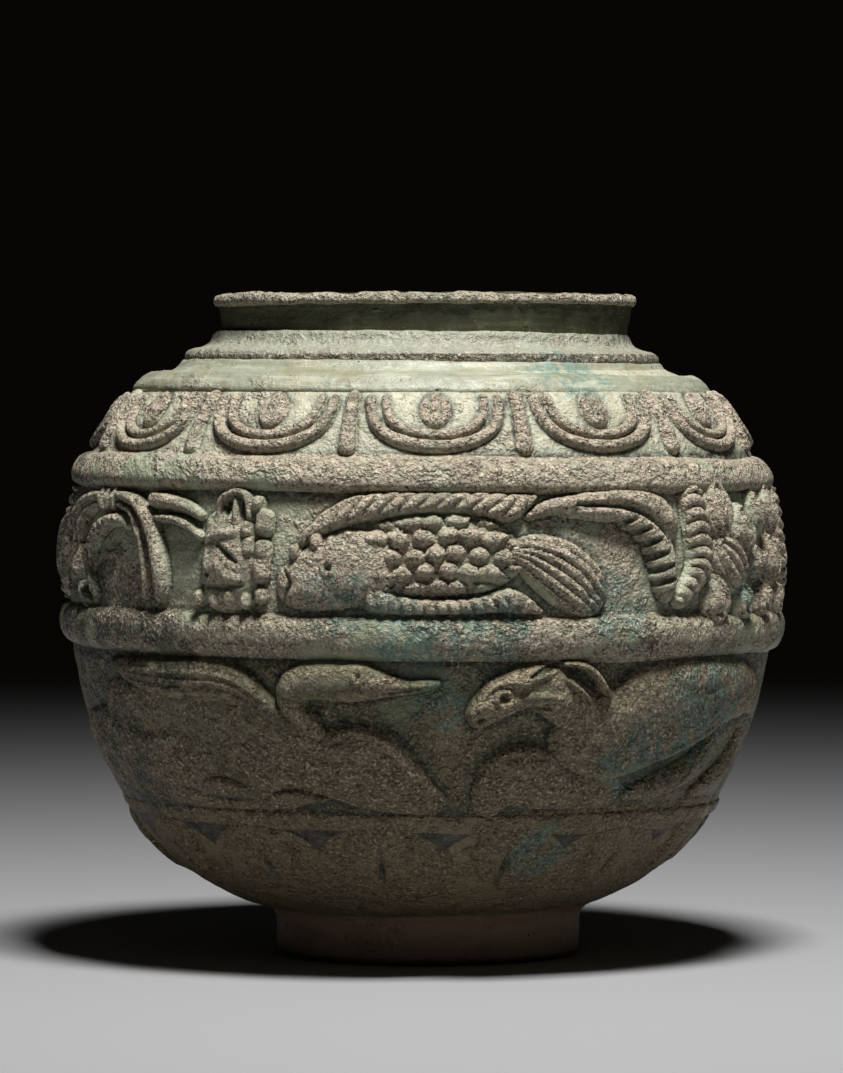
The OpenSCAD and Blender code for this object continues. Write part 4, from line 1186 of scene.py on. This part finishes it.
def spun(outline: Outline, steps: int, closed: bool = True, sectors: int = 20,
         off: float = 0.0) -> bmesh.types.BMesh:
    """Turns an outline round the jar's axis, one sector at a time.

    Args:
        outline: Points as radius and height.
        steps: Steps of the full turn.
        closed: Whether the last point joins the first. If not, both lie on the axis.
        sectors: Equal sectors of the full turn.
        off: How far to the right of the axis the mesh stands.

    Returns:
        The closed mesh.
    """
    bm = bmesh.new()
    verts = [bm.verts.new((0.0, -r, z)) for r, z in outline]
    edges = [bm.edges.new(pair) for pair in zip(verts, verts[1:])]
    if closed:
        edges.append(bm.edges.new((verts[-1], verts[0])))
    bmesh.ops.spin(bm, geom=verts + edges, cent=(0, 0, 0), axis=(0, 0, 1),
                   angle=2 * math.pi / sectors, steps=steps // sectors)
    repeat(bm, sectors)
    bmesh.ops.remove_doubles(bm, verts=bm.verts[:], dist=1e-3)
    bmesh.ops.recalc_face_normals(bm, faces=bm.faces[:])
    bmesh.ops.translate(bm, vec=(off, 0, 0), verts=bm.verts[:])
    return bm


@dataclass(frozen=True)
class Vessel:
    """The foot, the bowl, the walls, the shoulder and the neck."""

    reliefs: tuple[Relief, ...]
    neck_r: float = 57.6
    mouth_r: float = 52.0
    neck_off: float = 1.0
    foot_off: float = 1.8
    turn_z: float = 156.6
    seat_r: float = 65.8
    floor_mm: float = 6.5
    step: float = 0.85
    steps: int = 700
    upper: Faience = Faience("worn_faience_wall", paste="#b0a28a", glaze="#9c9c84", glazed=0.6)
    lower: Faience = Faience("stained_faience_lower_wall", paste="#82755a", glaze="#62684c",
                             low="#5b4e33", pale="#c2b796", glazed=0.45, pool_and_shade="#333c2e", pooling_and_shade=0.7)
    bowl_finish: Faience = Faience("stained_faience_bowl", paste="#827458", glaze="#71704f",
                                   low="#5e5036", pale="#aa9d7e", glazed=0.35, blue=0.5, grit=0.7,
                                   pool_and_shade="#34382a", pooling_and_shade=0.85)
    foot_finish: Faience = Faience("brown_stained_foot", paste="#937a64", glaze="#836b56",
                                   low="#7b634d", pale="#a08c72", glazed=0.8, grit=0.4,
                                   streaks=0.15, pool_and_shade="#3b2f24", rough_glaze=0.6)
    glazed: Faience = Faience("pale_glazed_faience", paste="#b8ac97", glaze="#b2af97",
                              low="#877c61", glazed=0.85)
    # Dark olive glaze on the neck, made darker to paint the shadow that the lip casts on it
    neck_olive_and_shadow: Faience = Faience("neck_glaze_and_painted_lip_shadow", paste="#4f4c36", glaze="#44452f",
                             low="#33311f", pale="#6d6b50", glazed=0.9, grit=0.14, streaks=0.45,
                             rough_glaze=0.32)
    lip_finish: Faience = Faience("rubbed_faience_lip", paste="#a69b86", glaze="#8f957b",
                                  low="#6b5f45", glazed=0.3)

    def shade(self, bm: bmesh.types.BMesh) -> None:
        """Marks the wall round the foot of each figure and beside each band: glaze pools there, and
        the finish paints shade there.

        Args:
            bm: A wall, in millimetres.
        """
        points = np.array([v.co[:] for v in bm.verts])
        angle = np.degrees(np.arctan2(points[:, 0], -points[:, 1]))
        z = points[:, 2]
        level = np.full(len(points), NOTHING)
        for relief in self.reliefs:
            pitch = 360 / relief.copies
            lines = np.concatenate([s.line(relief.foot) for s in relief.strokes])
            low = (lines[:, 0].min() + lines[:, 0].max()) / 2 - pitch / 2
            level = np.maximum(level, relief.heights((angle - low) % pitch + low, z)[0])
        # The creases above and below each band count as hollows too, which the finish darkens as
        # painted shade
        for band in ("ground_band", "waist_band", "upper_band"):
            away = np.maximum(bottom_mm(band) - z, z - top_mm(band))
            level = np.maximum(level, -0.4 - np.maximum(away - 0.6, 0))
        outer = np.hypot(points[:, 0], points[:, 1]) > WALL.radius(z) - 1
        hollow = np.where(outer, np.exp(np.minimum(level + 0.4, 0) / 2.6), 0)
        lay = bm.verts.layers.float.new("hollow")
        for v, value in zip(bm.verts, hollow):
            v[lay] = 0.9 * value

    def wall(self, node: str, finish: Faience) -> None:
        """Spins one section of the wall, in the place of a CAD node."""
        low, high = bottom_mm(node), top_mm(node)
        count = math.ceil((high - low) / self.step)
        outer = WALL.outline(np.linspace(low, high, count))
        inner = WALL.outline(np.linspace(high, low, count // 4), WALL.thickness)
        bm = spun(outer + inner, self.steps)
        self.shade(bm)
        finish_piece(bm, "turned", node, "wall_glaze", finish.material())

    def bowl(self) -> None:
        """Spins the bowl with its floor."""
        low, high = bottom_mm("base_bowl"), top_mm("base_bowl")
        floor = low + self.floor_mm
        outer = WALL.outline(low + (high - low) * np.linspace(0, 1, 52) ** 1.3)
        inner = WALL.outline(np.linspace(high, floor, 14), WALL.thickness)
        under = dense([(0.0, low), outer[0]], 4.0)
        inside = dense([inner[-1], (0.0, floor)], 4.0)
        bm = spun(under[:-1] + outer + inner + inside[1:], self.steps, closed=False)
        self.shade(bm)
        finish_piece(bm, "turned", "base_bowl", "lower_glaze", self.bowl_finish.material())

    def foot(self) -> None:
        """Spins the foot ring, with its worn edge and the fillet under the bowl."""
        r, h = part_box("foot_ring")[1].x / MM, top_mm("foot_ring")
        outline = softened([(r - 8, h + 1), (r - 8, 0.9), (r - 6.8, 0), (r - 1.2, 0), (r, 1.2),
                            (r - 0.1, h - 4.5), (r + 0.6, h - 2.2), (r + 2.4, h - 0.4),
                            (r + 5.6, h + 1.0), (r + 6.4, h + 2.0)], 0.8, 3)
        ring = spun(outline, self.steps, off=self.foot_off)
        finish_piece(ring, "turned", "foot_ring", "lower_glaze", self.foot_finish.material())

    def shoulder(self) -> None:
        """Spins the shoulder, which closes in to the neck's seat."""
        low, high = bottom_mm("shoulder"), top_mm("shoulder")
        outer = WALL.outline(np.linspace(low, self.turn_z, 27))
        slope = dense([outer[-1], (self.seat_r, high), (self.mouth_r + 1, high)], 1.6)
        inner = WALL.outline(np.linspace(self.turn_z - WALL.thickness, low, 8), WALL.thickness)
        back = dense([(self.mouth_r + 1, high), (self.mouth_r + 1, high - 5.7), inner[0]], 3.0)
        bm = spun(outer + slope[1:] + back[1:-1] + inner, self.steps)
        self.shade(bm)
        finish_piece(bm, "turned", "shoulder", "wall_glaze", self.glazed.material())

    def neck(self) -> None:
        """Spins the neck, a straight pipe inside with a slight waist outside, and its lip."""
        low, high = bottom_mm("neck"), top_mm("neck")
        mid = (low + high) / 2
        side = [(self.neck_r - 0.9 + 1.4 * max(z - mid, 0) / (high - mid), z)
                for z in np.linspace(low, high - 1.5, 22)]
        rim = softened([side[-1], (self.neck_r, high), (self.mouth_r + 1.4, high),
                        (self.mouth_r, high - 1.6), (self.mouth_r, low)], 0.9, 3)
        pipe = spun(side + rim[1:], 500, off=self.neck_off)
        # The neck's dark finish partly paints the lip's shadow
        finish_piece(pipe, "thrown", "neck", "wall_glaze", self.neck_olive_and_shadow.material(), ROUGH[:2])
        r = self.neck_r
        outline = softened([(r - 0.6, high - 3.2), (r + 1.0, high - 3.0), (r + 1.5, high - 1.9),
                            (r + 1.0, high - 0.5), (r - 1.8, high + 0.1), (r - 2.4, high - 1.2)],
                           0.5, 2)
        lip = spun(outline, 700, off=self.neck_off)
        finish_piece(lip, "rolled", "rim_lip", "wall_glaze", self.lip_finish.material(),
                     ((22.0, 0.4), (6.0, 0.35), (2.2, 0.25)))

    def build(self) -> None:
        """Builds every section."""
        self.foot()
        self.bowl()
        self.wall("lower_wall", self.lower)
        self.wall("upper_wall", self.upper)
        self.shoulder()
        self.neck()


@dataclass(frozen=True)
class Mouldings:
    """The raised bands and the rings of the shoulder. They were laid on a little askew."""

    askew: float = 0.9
    steps: int = 720
    upper: Faience = Faience("rubbed_faience_upper_band", paste="#b0a38c", glaze="#989d84",
                             low="#796b54", glazed=0.3)
    waist: Faience = Faience("rubbed_faience_waist_band", paste="#9c9078", glaze="#888a70",
                             low="#6b5e43", glazed=0.45)
    lower: Faience = Faience("stained_faience_ground_band", paste="#84765a", glaze="#797857",
                             low="#66573c", pale="#b5a888", glazed=0.35)
    smooth: Faience = Faience("pale_green_glaze", paste="#8f8d77", glaze="#8f907c", low="#7a7250",
                              pale="#b3b39c", glazed=0.9, grit=0.3, streaks=0.55)
    grainy: Faience = Faience("rubbed_faience_collar", paste="#a39b87", glaze="#929280",
                              low="#7d7357", glazed=1.0, rubbed_z=165.4)

    def tilt(self, bm: bmesh.types.BMesh) -> None:
        """Lowers the right side and lifts the left, as the band lies on the jar.

        Args:
            bm: A ring, in millimetres.
        """
        for v in bm.verts:
            v.co.z -= self.askew * v.co.x / WALL.belly_r

    def band(self, node: str, out: float, power: float, slot: str, finish: Faience) -> None:
        """Spins a rounded band whose back lies in the wall.

        Args:
            node: The CAD node that it stands for.
            out: How far it stands out.
            power: How full its rounding is, below 1 for a full one.
            slot: The record's material slot.
            finish: Its finish.
        """
        low, high = bottom_mm(node), top_mm(node)
        face = [(float(WALL.radius(low - 1.2)) - 0.6, low - 1.2)]
        for t in np.radians(np.linspace(0, 180, 22)):
            z = low + (high - low) * (1 - math.cos(t)) / 2
            face.append((float(WALL.radius(z)) + out * math.sin(t) ** power, z))
        face.append((float(WALL.radius(high + 2.4)) - 0.6, high + 2.4))
        back = [(float(WALL.radius(z)) - 1.6, z) for z in np.linspace(high + 2, low - 1, 6)]
        bm = spun(softened(face, 0.6, 4) + back, self.steps)
        self.tilt(bm)
        finish_piece(bm, "laid", node, slot, finish.material(), ((34.0, 0.5), *ROUGH))

    def shoulder_ring(self) -> None:
        """Spins the layer over the shoulder's slope, from its rounded edge to the collar."""
        outline = softened([(78.0, 155.4), (80.4, 156.3), (80.8, 157.5), (79.6, 159.2),
                            (77.6, 161.1), (75.6, 162.1), (73.6, 161.8), (71.6, 161.9),
                            (69.4, 162.6), (67.8, 163.8), (66.6, 165.4), (63.0, 165.4),
                            (63.0, 163.6), (72.0, 159.8)], 0.7, 1)
        bm = spun(outline, self.steps)
        self.tilt(bm)
        finish_piece(bm, "laid", "shoulder_ring", "moulding_glaze", self.smooth.material())

    def collar_ring(self) -> None:
        """Spins the ring round the neck's foot, with its fillet."""
        outline = softened([(57.0, 163.6), (65.4, 163.8), (66.3, 165.6), (66.0, 167.4),
                            (64.8, 168.4), (61.9, 168.8), (59.8, 169.6), (58.5, 171.2),
                            (57.9, 173.4), (56.6, 173.6)], 0.8, 2)
        bm = spun(outline, 600)
        self.tilt(bm)
        finish_piece(bm, "laid", "collar_ring", "moulding_glaze", self.grainy.material(),
                     ((14.0, 0.3), (4.5, 0.2), (1.7, 0.14)))

    def build(self) -> None:
        """Builds every band and ring."""
        self.band("ground_band", 1.2, 1.0, "lower_glaze", self.lower)
        self.band("waist_band", 3.3, 0.75, "moulding_glaze", self.waist)
        self.band("upper_band", 3.7, 0.75, "moulding_glaze", self.upper)
        self.shoulder_ring()
        self.collar_ring()


@dataclass(frozen=True)
class Studio:
    """A pale floor with a painted pool of light that fades into a dark sheet, a soft lamp and the
    camera.
    """

    distance: float = 1.596
    eye_height: float = 0.1575
    pitch: float = math.radians(1.472)
    lens_mm: float = 191.2
    sensor_mm: float = 36.0
    floor_hex: str = "#9e9e9f"
    dark_hex: str = "#070605"
    fade_from: float = 0.05
    fade_to: float = 1.6
    fill: float = 0.008
    lamp_place: tuple[float, float, float] = (0.1, -0.38, 1.06)
    lamp_size: float = 0.24
    lamp_watts: float = 20.6

    def floor(self) -> None:
        """Lays the floor, whose colour fades with the distance from the jar: a painted pool of
        light, whose far part is a dark emitting sheet in place of unlit floor.
        """
        bm = bmesh.new()
        bmesh.ops.create_grid(bm, x_segments=2, y_segments=2, size=12.0)
        mesh = bpy.data.meshes.new("floor")
        bm.to_mesh(mesh)
        bm.free()
        plate = placed("floor", mesh)
        paper = bpy.data.materials.new("pale_paper_painted_falloff")
        tree = blank(paper)
        place = add(tree, "ShaderNodeTexCoord").outputs["Object"]
        away = add(tree, "ShaderNodeVectorMath", {0: place}, operation="LENGTH").outputs["Value"]
        # Painted falloff of the lamp's light over the floor
        painted_falloff = add(tree, "ShaderNodeMapRange",
                   {"Value": away, "From Min": self.fade_from, "From Max": self.fade_to},
                   interpolation_type="SMOOTHSTEP").outputs["Result"]
        shader = add(tree, "ShaderNodeBsdfPrincipled",
                     {"Base Color": linear(self.floor_hex), "Roughness": 0.6})
        # A dark emitting sheet paints the unlit floor far off
        dark = add(tree, "ShaderNodeEmission", {"Color": linear(self.dark_hex)})
        sheet = add(tree, "ShaderNodeMixShader",
                    {0: painted_falloff, 1: shader.outputs["BSDF"], 2: dark.outputs[0]})
        add(tree, "ShaderNodeOutputMaterial", {"Surface": sheet.outputs[0]})
        mesh.materials.append(paper)

    def sky(self) -> None:
        """Sets a dark backdrop that the camera sees and a plain grey light on the jar."""
        world = bpy.data.worlds.new("studio")
        bpy.context.scene.world = world
        tree = blank(world)
        path = add(tree, "ShaderNodeLightPath")
        seen = add(tree, "ShaderNodeMath",
                   {0: path.outputs["Is Camera Ray"], 1: path.outputs["Is Glossy Ray"]},
                   operation="MAXIMUM").outputs[0]
        seen = add(tree, "ShaderNodeMath", {0: seen, 1: path.outputs["Is Transmission Ray"]},
                   operation="MAXIMUM").outputs[0]
        dark = add(tree, "ShaderNodeBackground", {"Color": linear(self.dark_hex), "Strength": 1.0})
        light = add(tree, "ShaderNodeBackground", {"Color": (1, 1, 1, 1), "Strength": self.fill})
        mix = add(tree, "ShaderNodeMixShader", {0: seen, 1: light.outputs[0], 2: dark.outputs[0]})
        add(tree, "ShaderNodeOutputWorld", {"Surface": mix.outputs[0]})

    def lamp(self) -> None:
        """Hangs a soft square lamp that faces the jar."""
        data = bpy.data.lights.new("key", "AREA")
        data.shape, data.size, data.energy = "SQUARE", self.lamp_size, self.lamp_watts
        lamp = placed("key", data)
        lamp.location = self.lamp_place
        aim = Vector((0, 0, 0.1)) - Vector(self.lamp_place)
        lamp.rotation_euler = aim.to_track_quat("-Z", "Y").to_euler()

    def camera(self) -> None:
        """Sets the camera where the photograph was taken from."""
        data = bpy.data.cameras.new("camera")
        data.lens, data.sensor_width, data.sensor_fit = self.lens_mm, self.sensor_mm, "AUTO"
        data.clip_start, data.clip_end = 0.05, 60
        seat = placed("camera", data)
        seat.location = (0, -self.distance, self.eye_height)
        seat.rotation_euler = (math.pi / 2 - self.pitch, 0, 0)
        bpy.context.scene.camera = seat

    def build(self) -> None:
        """Builds the whole studio."""
        self.floor()
        self.sky()
        self.lamp()
        self.camera()
        bpy.context.scene.view_settings.view_transform = "Standard"


def main() -> None:
    """Builds the jar's sub-assemblies in order, then the studio."""
    fish = FishFrieze(top_mm("waist_band"))
    animals = AnimalFrieze(top_mm("ground_band"))
    eggs = EggMoulding(EGG_TOP, EGG_TOP - top_mm("upper_band"))
    petals = PetalRing(PETAL_LOW, bottom_mm("ground_band") - 1.4)
    groups = ((fish, "relief_paste"), (animals, "relief_paste"), (eggs, "relief_paste"),
              (petals, "lower_glaze"))
    reliefs = [group.reliefs() for group, _ in groups]
    Vessel(tuple(relief for some in reliefs for relief in some)).build()
    Mouldings().build()
    for (group, slot), some in zip(groups, reliefs):
        material = group.finish.material()
        for relief in some:
            relief.build(slot, material)
    Studio().build()


if __name__ == "__main__":
    main()
